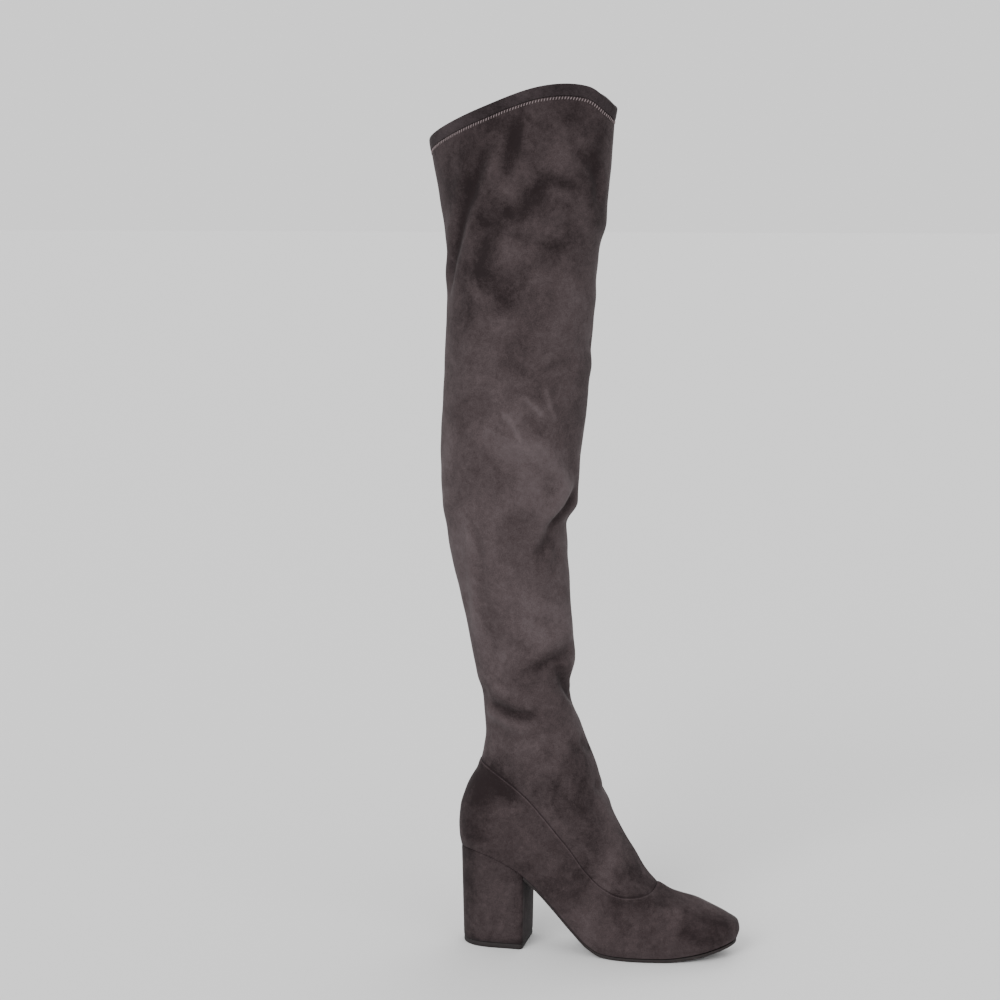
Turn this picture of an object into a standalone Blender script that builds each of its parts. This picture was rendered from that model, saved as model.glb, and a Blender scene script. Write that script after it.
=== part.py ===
"""Thigh high boot for the right foot, in stretch suede on a covered block heel.

Metres, +Z up, +X towards the toe, +Y towards the other foot.
The origin is on the floor, at the middle of the heel's tread.
"""

import math
from collections import namedtuple

import bmesh
import bpy
import numpy as np
from mathutils import Vector

# Foot and sole
FOOT_LENGTH = 0.244
HEEL_HEIGHT = 0.0875
HEEL_BACK = -0.0325
BALL_WIDTH = 0.079
SEAT_WIDTH = 0.056
TOE_SPRING = 0.013
VAMP_HEIGHT = 0.058
COUNTER_HEIGHT = 0.075
SOLE_THICKNESS = 0.003
SOLE_INSET = 0.0008
SOLE_EDGE = 0.0007
INSOLE_THICKNESS = 0.0025
INSOLE_GAP = 0.0007

# Leg
ANKLE_HEIGHT = 0.124
ANKLE_DEPTH = 0.080
ANKLE_WIDTH = 0.066
KNEE_DEPTH = 0.101
CALF_DEPTH = 0.122
CALF_WIDTH = 0.098
THIGH_DEPTH = 0.157
THIGH_WIDTH = 0.090
LEG_LENGTH = 0.4744
COLLAR_ARCH = 0.026
COLLAR_RISE = 0.027
BAND_HEIGHT = 0.0096

# Walls and gaps
UPPER_WALL = 0.002
SHAFT_WALL = 0.0015
BAND_WALL = 0.002
BAND_STEP = 0.0003
CLEARANCE = 0.0003

# Heel block
HEEL_TOP_LENGTH = 0.0605
HEEL_BASE_BACK = -0.029
HEEL_BASE_LENGTH = 0.056
HEEL_BASE_WIDTH = 0.048
HEEL_CORNER = 0.003
LIFT_THICKNESS = 0.0045

# Zip
ZIP_WIDTH = 0.007
ZIP_THICKNESS = 0.001
ZIP_DEPTH = 0.0004
ZIP_BEAD = 0.0003
SLIDER_LENGTH = 0.014
SLIDER_WIDTH = 0.009
SLIDER_PLATE = 0.0022
SLIDER_LIFT = 0.00045
BRIDGE_LENGTH = 0.0104
BRIDGE_WIDTH = 0.0028
BRIDGE_GAP = 0.002
BRIDGE_THICKNESS = 0.0012
PULL_LENGTH = 0.0165
PULL_WIDTH = 0.007
PULL_THICKNESS = 0.0012

FLOOR_FEATHER = SOLE_THICKNESS + CLEARANCE
CAP_POWER = 2.2
COLUMNS = 24
ZIP_COLUMN = 11
SOLE_STATIONS = 48

# Bottom line of the last, from heel to toe
# along the foot, share of the heel's height, share of the toe's spring
BOTTOM = [
    (0.000, 1.000, 0.00),
    (0.050, 0.994, 0.00),
    (0.113, 0.953, 0.00),
    (0.166, 0.890, 0.00),
    (0.232, 0.785, 0.00),
    (0.290, 0.650, 0.00),
    (0.355, 0.455, 0.00),
    (0.424, 0.232, 0.00),
    (0.480, 0.080, 0.00),
    (0.530, 0.013, 0.00),
    (0.585, 0.000, 0.00),
    (0.740, 0.000, 0.00),
    (0.850, 0.000, 0.22),
    (0.930, 0.000, 0.58),
    (1.000, 0.000, 1.00),
]

# Rings round the foot, from the sole's edge up to the instep seam
# back end, its rise on the counter, front end, share of the toe's spring, share of the vamp,
# how far the side follows the bottom line, drop of the front's sides,
# half widths at seat, waist and ball on the outer and the inner side,
# length of the round back, start of the round front, inward turn of the toe
FOOT_RINGS = [
    (0.006, 0.00, 0.985, 1, 0.000, 1.00, 0.00, (0.988, 0.73, 0.940), (0.973, 0.56, 0.940), 0.125, 0.60, 0.10),
    (0.001, 0.10, 0.995, 1, 0.110, 1.00, 0.00, (1.037, 0.78, 0.990), (1.030, 0.62, 1.000), 0.125, 0.60, 0.10),
    (0.000, 0.22, 0.992, 1, 0.225, 1.00, 0.02, (1.051, 0.80, 1.000), (1.037, 0.67, 1.000), 0.130, 0.62, 0.09),
    (0.006, 0.40, 0.960, 1, 0.335, 1.00, 0.06, (1.030, 0.80, 0.955), (1.016, 0.70, 0.940), 0.140, 0.65, 0.07),
    (0.022, 0.62, 0.860, 0, 0.745, 0.97, 0.11, (0.973, 0.79, 0.900), (0.959, 0.73, 0.870), 0.150, 0.70, 0.03),
    (0.076, 1.00, 0.707, 0, 1.000, 0.84, 0.21, (0.875, 0.78, 0.850), (0.875, 0.74, 0.810), 0.200, 0.77, 0.00),
]

# Rings over the instep, from the seam up to the ankle
# back end, its rise, front end, share of the heel's height, rise, follow, drop,
# half widths at back, middle and front, round back, round front
ANKLE_RINGS = [
    (0.088, 0.69, 0.622, 0.60, 0.300, 0.68, 0.09, (0.80, 0.97, 1.00), 0.26, 0.72),
    (0.093, 0.79, 0.558, 0.80, 0.385, 0.50, 0.06, (0.84, 0.99, 0.99), 0.34, 0.64),
    (0.091, 0.90, 0.508, 0.92, 0.520, 0.33, 0.03, (0.88, 1.00, 0.98), 0.42, 0.58),
    (0.085, 1.00, 0.468, 0.97, 0.690, 0.17, 0.01, (0.93, 1.00, 0.98), 0.47, 0.54),
]

# Rings up the leg, from the ankle to the collar
# rise, depth, part of it behind the heel's centre, width,
# forward lean of the ring on the ankle's height, lean and arch on the collar's
LEG_RINGS = [
    (0.026, 1.070 * ANKLE_DEPTH, 0.152, 0.99 * ANKLE_WIDTH, -0.218, 0.0, 0.0),
    (0.052, 1.025 * ANKLE_DEPTH, 0.201, 0.99 * ANKLE_WIDTH, -0.161, 0.0, 0.0),
    (0.081, 1.025 * ANKLE_DEPTH, 0.232, 1.00 * ANKLE_WIDTH, -0.145, 0.0, 0.0),
    (0.115, 1.120 * ANKLE_DEPTH, 0.246, 1.05 * ANKLE_WIDTH, -0.129, 0.0, 0.0),
    (0.161, 1.160 * ANKLE_DEPTH, 0.296, 0.75 * CALF_WIDTH, -0.081, 0.0, 0.0),
    (0.224, 0.955 * KNEE_DEPTH, 0.3575, 0.82 * CALF_WIDTH, -0.024, 0.0, 0.0),
    (0.281, 0.990 * KNEE_DEPTH, 0.400, 0.88 * CALF_WIDTH, 0.0, 0.0, 0.0),
    (0.326, 1.020 * KNEE_DEPTH, 0.417, 0.92 * CALF_WIDTH, 0.0, 0.0, 0.0),
    (0.368, 0.950 * CALF_DEPTH, 0.401, 0.945 * CALF_WIDTH, 0.0, 0.0, 0.0),
    (0.456, 0.984 * CALF_DEPTH, 0.400, 0.985 * CALF_WIDTH, 0.0, 0.0, 0.0),
    (0.549, 1.003 * CALF_DEPTH, 0.383, 1.00 * CALF_WIDTH, 0.0, 0.0, 0.0),
    (0.638, 1.008 * CALF_DEPTH, 0.366, 0.98 * CALF_WIDTH, 0.0, 0.0, 0.0),
    (0.724, 1.020 * CALF_DEPTH, 0.337, 0.95 * CALF_WIDTH, 0.0, 0.0, 0.0),
    (0.804, 0.812 * THIGH_DEPTH, 0.3255, 1.02 * THIGH_WIDTH, 0.0, 0.0, 0.0),
    (0.859, 0.873 * THIGH_DEPTH, 0.3285, 1.01 * THIGH_WIDTH, 0.0, 0.10, 0.15),
    (0.913, 0.920 * THIGH_DEPTH, 0.3426, 1.00 * THIGH_WIDTH, 0.0, 0.40, 0.50),
    (0.960, 0.962 * THIGH_DEPTH, 0.3576, 1.00 * THIGH_WIDTH, 0.0, 0.80, 0.85),
    (1.000 - BAND_HEIGHT / LEG_LENGTH, 0.980 * THIGH_DEPTH, 0.361, 1.00 * THIGH_WIDTH, 0.0, 1.00, 1.00),
    (1.000, 1.000 * THIGH_DEPTH, 0.363, 1.00 * THIGH_WIDTH, 0.0, 1.00, 1.00),
]

# The zip's line on the inner side, seen from that side
# along the foot, share of the heel's height, share of the ankle's height
ZIP_TOP = (0.254, 1.0, 1.125)
ZIP_FOOT = (0.404, 0.4, 0.0)
ZIP_END = 0.20

Ring = namedtuple("Ring", "back_x back_z front_x front_z follow drop arch "
                          "outer_rear outer_middle outer_fore inner_rear inner_middle inner_fore "
                          "round_back round_front turn")


def along(share):
    """Distance in front of the heel's centre at a share of the foot's length."""
    return HEEL_BACK + share * FOOT_LENGTH


def smooth(amount):
    """Ease from 0 to 1."""
    amount = np.clip(amount, 0.0, 1.0)
    return amount * amount * (3.0 - 2.0 * amount)


def through(x, stations, values):
    """Smooth curve through the values at the stations, with no overshoot between them."""
    stations = np.asarray(stations, float)
    values = np.asarray(values, float)
    step = np.diff(stations)
    slope = np.diff(values) / step
    tangent = np.zeros(len(values))
    tangent[0] = slope[0]
    tangent[-1] = slope[-1]
    for k in range(1, len(values) - 1):
        if slope[k - 1] * slope[k] > 0.0:
            before = 2.0 * step[k] + step[k - 1]
            after = step[k] + 2.0 * step[k - 1]
            tangent[k] = (before + after) / (before / slope[k - 1] + after / slope[k])
    x = np.clip(x, stations[0], stations[-1])
    cell = np.clip(np.searchsorted(stations, x, side="right") - 1, 0, len(step) - 1)
    t = (x - stations[cell]) / step[cell]
    ends = values[cell] * (1 + 2 * t) * (1 - t) ** 2 + values[cell + 1] * t * t * (3 - 2 * t)
    bend = tangent[cell] * t * (1 - t) ** 2 - tangent[cell + 1] * t * t * (1 - t)
    return ends + bend * step[cell]


def bottom_line(x):
    """Height of the upper's lower edge at a distance along the foot."""
    share = (np.asarray(x, float) - HEEL_BACK) / FOOT_LENGTH
    stations = [row[0] for row in BOTTOM]
    lift = through(share, stations, [row[1] for row in BOTTOM])
    spring = through(share, stations, [row[2] for row in BOTTOM])
    return FLOOR_FEATHER + (HEEL_HEIGHT - FLOOR_FEATHER) * lift + TOE_SPRING * spring


def foot_ring(back, rise, front, spring, vamp, follow, drop, outer, inner, round_back, round_front, turn):
    sizes = (SEAT_WIDTH / 2, BALL_WIDTH / 2, BALL_WIDTH / 2)
    widths = [share * size for share, size in zip(outer + inner, sizes + sizes)]
    front_z = FLOOR_FEATHER + spring * TOE_SPRING + vamp * VAMP_HEIGHT
    return Ring(along(back), HEEL_HEIGHT + rise * COUNTER_HEIGHT, along(front), front_z,
                follow, drop * VAMP_HEIGHT, 0.0, *widths, round_back, round_front, turn * BALL_WIDTH / 2)


def ankle_ring(back, back_rise, front, heel, front_rise, follow, drop, widths, round_back, round_front):
    halves = [share * ANKLE_WIDTH / 2 for share in widths + widths]
    back_z = HEEL_HEIGHT + back_rise * ANKLE_HEIGHT
    front_z = heel * HEEL_HEIGHT + front_rise * ANKLE_HEIGHT
    return Ring(along(back), back_z, along(front), front_z,
                follow, drop * ANKLE_HEIGHT, 0.0, *halves, round_back, round_front, 0.0)


def leg_ring(rise, depth, behind, width, ankle_lean, collar_lean, arch):
    height = HEEL_HEIGHT + ANKLE_HEIGHT + rise * LEG_LENGTH
    lean = ankle_lean * ANKLE_HEIGHT + collar_lean * COLLAR_RISE
    halves = [width / 2] * 6
    return Ring(-behind * depth, height, (1 - behind) * depth, height + lean,
                0.0, 0.0, arch * COLLAR_ARCH, *halves, 0.5, 0.5, 0.0)


RINGS = [foot_ring(*row) for row in FOOT_RINGS]
RINGS += [ankle_ring(*row) for row in ANKLE_RINGS]
RINGS += [leg_ring(*row) for row in LEG_RINGS]


def ring_heights():
    """Place of each ring up the boot: the mean of the ways along its back and its front."""
    heights = [0.0]
    for low, high in zip(RINGS, RINGS[1:]):
        back = math.hypot(high.back_x - low.back_x, high.back_z - low.back_z)
        front = math.hypot(high.front_x - low.front_x, high.front_z - low.front_z)
        heights.append(heights[-1] + (back + front) / 2)
    return heights


HEIGHTS = ring_heights()
SEAM = HEIGHTS[len(FOOT_RINGS) - 1]
BAND = HEIGHTS[-2]
COLLAR = HEIGHTS[-1]


def surface(turn, height):
    """Point on the boot's outer surface.

    turn runs 0 to 1 round the boot from the back, over the outer side to the front;
    height runs from the sole's edge to the collar.
    """
    turn = np.asarray(turn, float)
    at = {name: through(height, HEIGHTS, [getattr(ring, name) for ring in RINGS]) for name in Ring._fields}
    forward = (1 - np.cos(2 * math.pi * turn)) / 2
    outer = np.sin(2 * math.pi * turn) >= 0
    x = at["back_x"] + (at["front_x"] - at["back_x"]) * forward

    back = np.clip(forward / at["round_back"], 0, 1)
    front = np.clip((forward - at["round_front"]) / (1 - at["round_front"]), 0, 1)
    power = CAP_POWER + (2 - CAP_POWER) * smooth((at["round_back"] - 0.2) / 0.3)
    cap = (1 - (1 - back) ** power) ** (1 / power) * (1 - front ** power) ** (1 / power)

    rear = np.where(outer, at["outer_rear"], at["inner_rear"])
    middle = np.where(outer, at["outer_middle"], at["inner_middle"])
    fore = np.where(outer, at["outer_fore"], at["inner_fore"])
    half = rear + (middle - rear) * smooth((forward - 0.12) / 0.28) + (fore - middle) * smooth((forward - 0.4) / 0.26)
    y = np.where(outer, -1.0, 1.0) * half * cap + at["turn"] * smooth((forward - 0.5) / 0.5)

    low_back = bottom_line(at["back_x"])
    low_front = bottom_line(at["front_x"])
    sag = bottom_line(x) - (low_back + (low_front - low_back) * forward)
    z = at["back_z"] + (at["front_z"] - at["back_z"]) * forward + at["follow"] * sag
    z = z - at["drop"] * cap * smooth((forward - 0.5) / 0.35) + at["arch"] * cap * (0.45 + 0.75 * forward)
    return np.stack([x, y, z], axis=-1)


def unit(vector):
    return vector / np.linalg.norm(vector, axis=-1, keepdims=True)


def directions(turn, height):
    """Unit vectors round the boot, up it and out of it."""
    small_turn = 0.0005
    small_height = 0.0002
    round_it = unit(surface(turn + small_turn, height) - surface(turn - small_turn, height))
    low = np.maximum(height - small_height, 0.0)
    high = np.minimum(height + small_height, COLLAR)
    up = unit(surface(turn, high) - surface(turn, low))
    return round_it, up, unit(np.cross(round_it, up))


def zip_line(height):
    """Turn at which the zip's line crosses a height on the inner side of the boot."""
    height = np.clip(height, 0.0, ZIP_START)
    top_x = along(ZIP_TOP[0])
    top_z = ZIP_TOP[1] * HEEL_HEIGHT + ZIP_TOP[2] * ANKLE_HEIGHT
    foot_x = along(ZIP_FOOT[0])
    foot_z = ZIP_FOOT[1] * HEEL_HEIGHT + ZIP_FOOT[2] * ANKLE_HEIGHT
    low = np.zeros_like(height) + 0.55
    high = np.zeros_like(height) + 0.95
    for _ in range(30):
        middle = (low + high) / 2
        point = surface(middle, height)
        line_x = top_x + (foot_x - top_x) * (top_z - point[..., 2]) / (top_z - foot_z)
        ahead = point[..., 0] > line_x
        low = np.where(ahead, middle, low)
        high = np.where(ahead, high, middle)
    return (low + high) / 2


ANKLE = HEIGHTS[len(FOOT_RINGS) + len(ANKLE_RINGS) - 1]
ZIP_START = ANKLE + (HEIGHTS[len(FOOT_RINGS) + len(ANKLE_RINGS)] - ANKLE) * 2.2
ZIP_STOP = ZIP_END * SEAM


def zip_edges(height, inset):
    """Turns of the slot's two edges at a height, each brought in by an inset."""
    middle = zip_line(height)
    step = 0.001
    pace = np.linalg.norm(surface(middle + step, height) - surface(middle - step, height), axis=-1) / (2 * step)
    half = (ZIP_WIDTH / 2 - inset) / pace
    return middle - half, middle + half


def column_turns(height):
    """Turns of the mesh's columns at one height, with two of them on the slot's edges."""
    front_edge, back_edge = zip_edges(np.array(height), 0.0)
    outer = np.linspace(0.0, 0.5, COLUMNS + 1)
    fore = np.linspace(0.5, float(front_edge), ZIP_COLUMN + 1)
    rear = np.linspace(float(back_edge), 1.0, COLUMNS - ZIP_COLUMN)
    return np.concatenate([outer[:-1], fore, rear[:-1]])


def material(name, colour, roughness, metallic=0.0):
    made = bpy.data.materials.new(name)
    made.use_nodes = True
    shader = made.node_tree.nodes["Principled BSDF"]
    shader.inputs["Base Color"].default_value = (*colour, 1.0)
    shader.inputs["Roughness"].default_value = roughness
    shader.inputs["Metallic"].default_value = metallic
    made.diffuse_color = (*colour, 1.0)
    return made


def add_solid(name, points, faces, surface_material, sharp=40.0, origin=(0.0, 0.0, 0.0)):
    """Closed mesh object from points and faces, with its faces turned out."""
    model = bmesh.new()
    used = sorted({index for face in faces for index in face})
    vertices = {index: model.verts.new(Vector(points[index]) - Vector(origin)) for index in used}
    for face in faces:
        model.faces.new([vertices[index] for index in face])
    bmesh.ops.recalc_face_normals(model, faces=model.faces)
    bmesh.ops.triangulate(model, faces=model.faces)
    mesh = bpy.data.meshes.new(name)
    model.to_mesh(mesh)
    model.free()
    mesh.materials.append(surface_material)
    mesh.shade_smooth()
    mesh.set_sharp_from_angle(angle=math.radians(sharp))
    made = bpy.data.objects.new(name, mesh)
    made.location = origin
    bpy.context.collection.objects.link(made)
    return made


def add_walled(name, outside, inside, closed, surface_material, skipped=(), origin=(0.0, 0.0, 0.0), sharp=40.0):
    """Solid between two grids of points, with walls round its rims and round the skipped cells."""
    rows, columns = outside.shape[:2]
    across = columns if closed else columns - 1
    kept = {(row, column) for row in range(rows - 1) for column in range(across)} - set(skipped)
    points = np.concatenate([outside.reshape(-1, 3), inside.reshape(-1, 3)])
    depth = rows * columns

    def index(row, column):
        return row * columns + column % columns

    faces = []
    for row, column in sorted(kept):
        corners = [index(row, column), index(row, column + 1), index(row + 1, column + 1), index(row + 1, column)]
        faces.append(corners)
        faces.append([corner + depth for corner in reversed(corners)])
        after = (column + 1) % columns if closed else column + 1
        before = (column - 1) % columns if closed else column - 1
        for side, other in enumerate([(row - 1, column), (row, after), (row + 1, column), (row, before)]):
            if other not in kept:
                start = corners[side]
                end = corners[(side + 1) % 4]
                faces.append([end, start, start + depth, end + depth])
    return add_solid(name, points, faces, surface_material, sharp, origin)


def add_stack(name, loops, surface_material, sharp=40.0):
    """Solid through stacked loops, capped by strips from each point to its partner across."""
    count = len(loops[0])
    points = np.concatenate(loops)
    faces = []
    for level in range(len(loops) - 1):
        for k in range(count):
            here = level * count + k
            after = level * count + (k + 1) % count
            faces.append([here, after, after + count, here + count])
    for start in (0, (len(loops) - 1) * count):
        for k in range(1, (count + 1) // 2):
            strip = [start + k - 1, start + k, start + count - k, start + (count - k + 1) % count]
            faces.append(list(dict.fromkeys(strip)))
        if count % 2 == 0:
            faces.append([start + count // 2 - 1, start + count // 2, start + count // 2 + 1])
    return add_solid(name, points, faces, surface_material, sharp)


def shell_grid(heights, outward, wall):
    """Grids of a shell's outer and inner points at the given heights."""
    outside = []
    inside = []
    for height in heights:
        turns = column_turns(height)
        level = np.full(len(turns), height)
        point = surface(turns, level)
        out = directions(turns, level)[2]
        flat = unit(out * np.array([1.0, 1.0, 0.0]))
        upright = smooth(height / (0.15 * SEAM))
        out = unit(flat + (out - flat) * upright)
        low = point - out * wall
        sole_step = bottom_line(low[:, 0]) - bottom_line(point[:, 0])
        low[:, 2] += sole_step * (1 - upright)
        outside.append(point + out * outward)
        inside.append(low)
    return np.array(outside), np.array(inside)


def open_joint(grids, row, side):
    """Draw one rim back along the wall by half the clearance."""
    for grid in grids:
        step = unit(grid[row + side] - grid[row])
        grid[row] += step * CLEARANCE / 2


def slot_cells(heights):
    """Cells of a shell's grid that the zip's slot takes away."""
    column = COLUMNS + ZIP_COLUMN
    return [(row, column) for row, (low, high) in enumerate(zip(heights, heights[1:]))
            if low >= ZIP_STOP - 1e-9 and high <= ZIP_START + 1e-9]


def upper_heights():
    shares = [0.0, 0.10, ZIP_END, 0.32, 0.45, 0.58, 0.72, 0.86, 1.0]
    return [share * SEAM for share in shares]


def shaft_heights():
    rows = [height for height in HEIGHTS if SEAM <= height <= BAND and abs(height - ZIP_START) > 0.004]
    return sorted(rows + [ZIP_START])


def make_upper(suede):
    heights = upper_heights()
    grids = shell_grid(heights, 0.0, UPPER_WALL)
    open_joint(grids, -1, -1)
    return add_walled("upper", *grids, True, suede, slot_cells(heights))


def make_shaft(suede):
    heights = shaft_heights()
    grids = shell_grid(heights, 0.0, SHAFT_WALL)
    open_joint(grids, 0, 1)
    open_joint(grids, -1, -1)
    return add_walled("shaft", *grids, True, suede, slot_cells(heights))


def make_collar_band(suede):
    grids = shell_grid([BAND, (BAND + COLLAR) / 2, COLLAR], BAND_STEP, BAND_WALL)
    open_joint(grids, 0, 1)
    return add_walled("collar_band", *grids, True, suede)


def feather(turns, inset):
    """The sole's edge seen from above, brought in by an inset."""
    level = np.zeros(len(turns))
    point = surface(turns, level)[:, :2]
    out = unit(directions(turns, level)[2][:, :2])
    return point - out * inset


def make_insole(board):
    turns = np.arange(2 * SOLE_STATIONS) / (2 * SOLE_STATIONS)
    loops = []
    for rise in (0.0, INSOLE_THICKNESS):
        outline = feather(turns, UPPER_WALL + INSOLE_GAP)
        loops.append(np.column_stack([outline, bottom_line(outline[:, 0]) + rise]))
    return add_stack("insole", loops, board)


def heel_front():
    return HEEL_BACK + HEEL_TOP_LENGTH


def make_outsole(leather):
    """Sole from the toe to the heel's breast: its loops start at the toe's tip."""
    ring = RINGS[0]
    start = heel_front() + CLEARANCE + SOLE_EDGE
    first = (start - ring.back_x) / (ring.front_x - ring.back_x)
    first_turn = math.acos(1 - 2 * first) / (2 * math.pi)
    outer = 0.5 - np.arange(SOLE_STATIONS) / (2 * SOLE_STATIONS)
    outer = np.append(outer[outer > first_turn + 0.2 / SOLE_STATIONS], first_turn)
    turns = np.concatenate([outer, 1 - outer[:0:-1]])
    last = len(outer) - 1
    loops = []
    levels = ((SOLE_INSET, CLEARANCE), (SOLE_INSET, CLEARANCE + 0.6 * SOLE_THICKNESS),
              (SOLE_INSET + SOLE_EDGE, CLEARANCE + SOLE_THICKNESS))
    for inset, drop in levels:
        outline = feather(turns, inset)
        outline[last:last + 2, 0] = start - SOLE_EDGE
        loops.append(np.column_stack([outline, bottom_line(outline[:, 0]) - drop]))
    return add_stack("outsole", loops, leather)


def heel_outline(level):
    """Points round the heel block, from its back, at a level from the tread to the seat."""
    corner = np.radians([0.0, 30.0, 60.0, 90.0])
    ring = RINGS[0]
    seat_front = heel_front()
    turns = np.arange(SOLE_STATIONS) / (2 * SOLE_STATIONS)
    forward = (1 - np.cos(2 * math.pi * turns)) / 2
    flank = forward * (ring.front_x - ring.back_x) / (seat_front - ring.back_x)
    turns = turns[flank < 1 - HEEL_CORNER / HEEL_TOP_LENGTH]
    flank = flank[:len(turns)]
    sides = []
    for side_turns, sign in ((turns, -1.0), (1 - turns, 1.0)):
        seat = feather(side_turns, CLEARANCE)
        seat_half = abs(seat[-1, 1])
        base_x = HEEL_BASE_BACK + flank * HEEL_BASE_LENGTH
        base_cap = (1 - (1 - np.clip(flank / 0.55, 0, 1)) ** 2.3) ** (1 / 2.3)
        base = np.column_stack([base_x, sign * HEEL_BASE_WIDTH / 2 * base_cap])
        front = HEEL_BASE_BACK + HEEL_BASE_LENGTH + (seat_front - HEEL_BASE_BACK - HEEL_BASE_LENGTH) * level
        half = HEEL_BASE_WIDTH / 2 + (seat_half - HEEL_BASE_WIDTH / 2) * level
        body = base + (seat - base) * level
        turned = np.column_stack([front - HEEL_CORNER * (1 - np.sin(corner)),
                                  sign * (half - HEEL_CORNER * (1 - np.cos(corner)))])
        sides.append(np.concatenate([body, turned]))
    outer, inner = sides
    return np.concatenate([outer, inner[:0:-1]])


def make_heel(suede):
    loops = []
    base = LIFT_THICKNESS + CLEARANCE
    for level in (0.0, 0.3, 0.65, 1.0):
        outline = heel_outline(level)
        top = bottom_line(outline[:, 0]) - CLEARANCE
        loops.append(np.column_stack([outline, base + (top - base) * level]))
    return add_stack("heel", loops, suede)


def make_top_lift(rubber):
    outline = heel_outline(0.0)
    loops = [np.column_stack([outline, np.full(len(outline), height)]) for height in (0.0, LIFT_THICKNESS)]
    return add_stack("top_lift", loops, rubber)


def make_zip_tape(metal):
    """Closed chain in the slot, with a low bead along its middle."""
    rows = [height for height in upper_heights() + shaft_heights() if ZIP_STOP < height < ZIP_START]
    rows = [ZIP_STOP + CLEARANCE] + sorted(set(rows)) + [ZIP_START - CLEARANCE]
    outside = []
    inside = []
    for height in rows:
        low, high = zip_edges(np.array(height), CLEARANCE)
        turns = float(low) + (float(high) - float(low)) * np.array([0.0, 0.25, 0.5, 0.75, 1.0])
        level = np.full(len(turns), height)
        out = directions(turns, level)[2]
        bead = np.array([0.0, 0.0, ZIP_BEAD, 0.0, 0.0])[:, None]
        face = surface(turns, level) + out * (bead - ZIP_DEPTH)
        outside.append(face)
        inside.append(face - out * (ZIP_THICKNESS + bead))
    return add_walled("zip_tape", np.array(outside), np.array(inside), False, metal)


def slider_place():
    """Centre of the slider on the boot's surface, with its directions up, across and out."""
    height = np.array(ZIP_START - CLEARANCE - SLIDER_LENGTH / 2)
    step = 0.002
    centre = surface(zip_line(height), height)
    upper_point = surface(zip_line(height + step), height + step)
    lower_point = surface(zip_line(height - step), height - step)
    out = directions(zip_line(height), height)[2]
    up = unit(upper_point - lower_point)
    across = unit(np.cross(out, up))
    return centre, up, across, unit(np.cross(up, across))


def in_slider(ups, acrosses, outs):
    """Points from distances in the slider's own directions."""
    centre, up, across, out = slider_place()
    return centre + np.multiply.outer(ups, up) + np.multiply.outer(acrosses, across) + np.multiply.outer(outs, out)


AXIS_LIFT = SLIDER_LIFT + SLIDER_PLATE + BRIDGE_GAP / 2


def make_zip_slider(metal):
    """Slider body: a tapered plate, and a bridge with room under it for the pull."""
    reach = SLIDER_LENGTH / 2
    leg = BRIDGE_LENGTH / 2
    ups = [-reach, -leg, -leg + BRIDGE_THICKNESS, leg - BRIDGE_THICKNESS, leg, reach]
    plate_top = SLIDER_LIFT + SLIDER_PLATE
    bridge_low = plate_top + BRIDGE_GAP
    bridge_top = bridge_low + BRIDGE_THICKNESS
    taper = np.array([0.72, 0.9, 0.95, 1.0, 1.0, 0.85]) * SLIDER_WIDTH / 2
    arch = np.full(len(ups), BRIDGE_WIDTH / 2)
    # height above the boot, half widths along the slider
    layers = [
        (SLIDER_LIFT, taper * 0.94),
        (SLIDER_LIFT + 0.3 * SLIDER_PLATE, taper),
        (SLIDER_LIFT + 0.75 * SLIDER_PLATE, taper),
        (plate_top, taper * 0.9),
        (plate_top, arch),
        (bridge_low, arch),
        (bridge_top, arch * 0.8),
    ]
    outs = np.array([[lift] * len(ups) for lift, _ in layers])
    halves = np.array([half for _, half in layers])
    places = np.tile(ups, (len(layers), 1))
    near = in_slider(places, halves, outs)
    far = in_slider(places, -halves, outs)
    beside = [(row, column) for row in (3, 4, 5) for column in (0, 4)]
    window = [(4, 2)]
    return add_walled("zip_slider", near, far, False, metal, beside + window)


def make_zip_pull(metal):
    """Pull tab hanging from its end bar, which turns under the slider's bridge."""
    bar = PULL_THICKNESS / 2
    eye = math.hypot(BRIDGE_LENGTH / 2, BRIDGE_GAP / 2 + BRIDGE_THICKNESS) + 2 * CLEARANCE
    hole = PULL_LENGTH - 0.0035
    # distance down from the bar's centre, half width
    steps = [
        (-bar, 0.80),
        (bar, 0.92),
        (eye, 1.0),
        (hole, 1.0),
        (hole + 0.0018, 1.0),
        (PULL_LENGTH, 0.7),
    ]
    opening = BRIDGE_WIDTH / 2 + 2 * CLEARANCE
    ups = []
    acrosses = []
    for down, share in steps:
        half = share * PULL_WIDTH / 2
        inner = opening if down <= eye else opening / 2
        ups.append([-down] * 4)
        acrosses.append([-half, -inner, inner, half])
    ups = np.array(ups)
    acrosses = np.array(acrosses)
    front = in_slider(ups, acrosses, np.full(ups.shape, AXIS_LIFT + bar))
    back = in_slider(ups, acrosses, np.full(ups.shape, AXIS_LIFT - bar))
    axis = in_slider(0.0, 0.0, AXIS_LIFT)
    return add_walled("zip_pull", front, back, False, metal, [(1, 1), (3, 1)], origin=tuple(axis))


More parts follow.
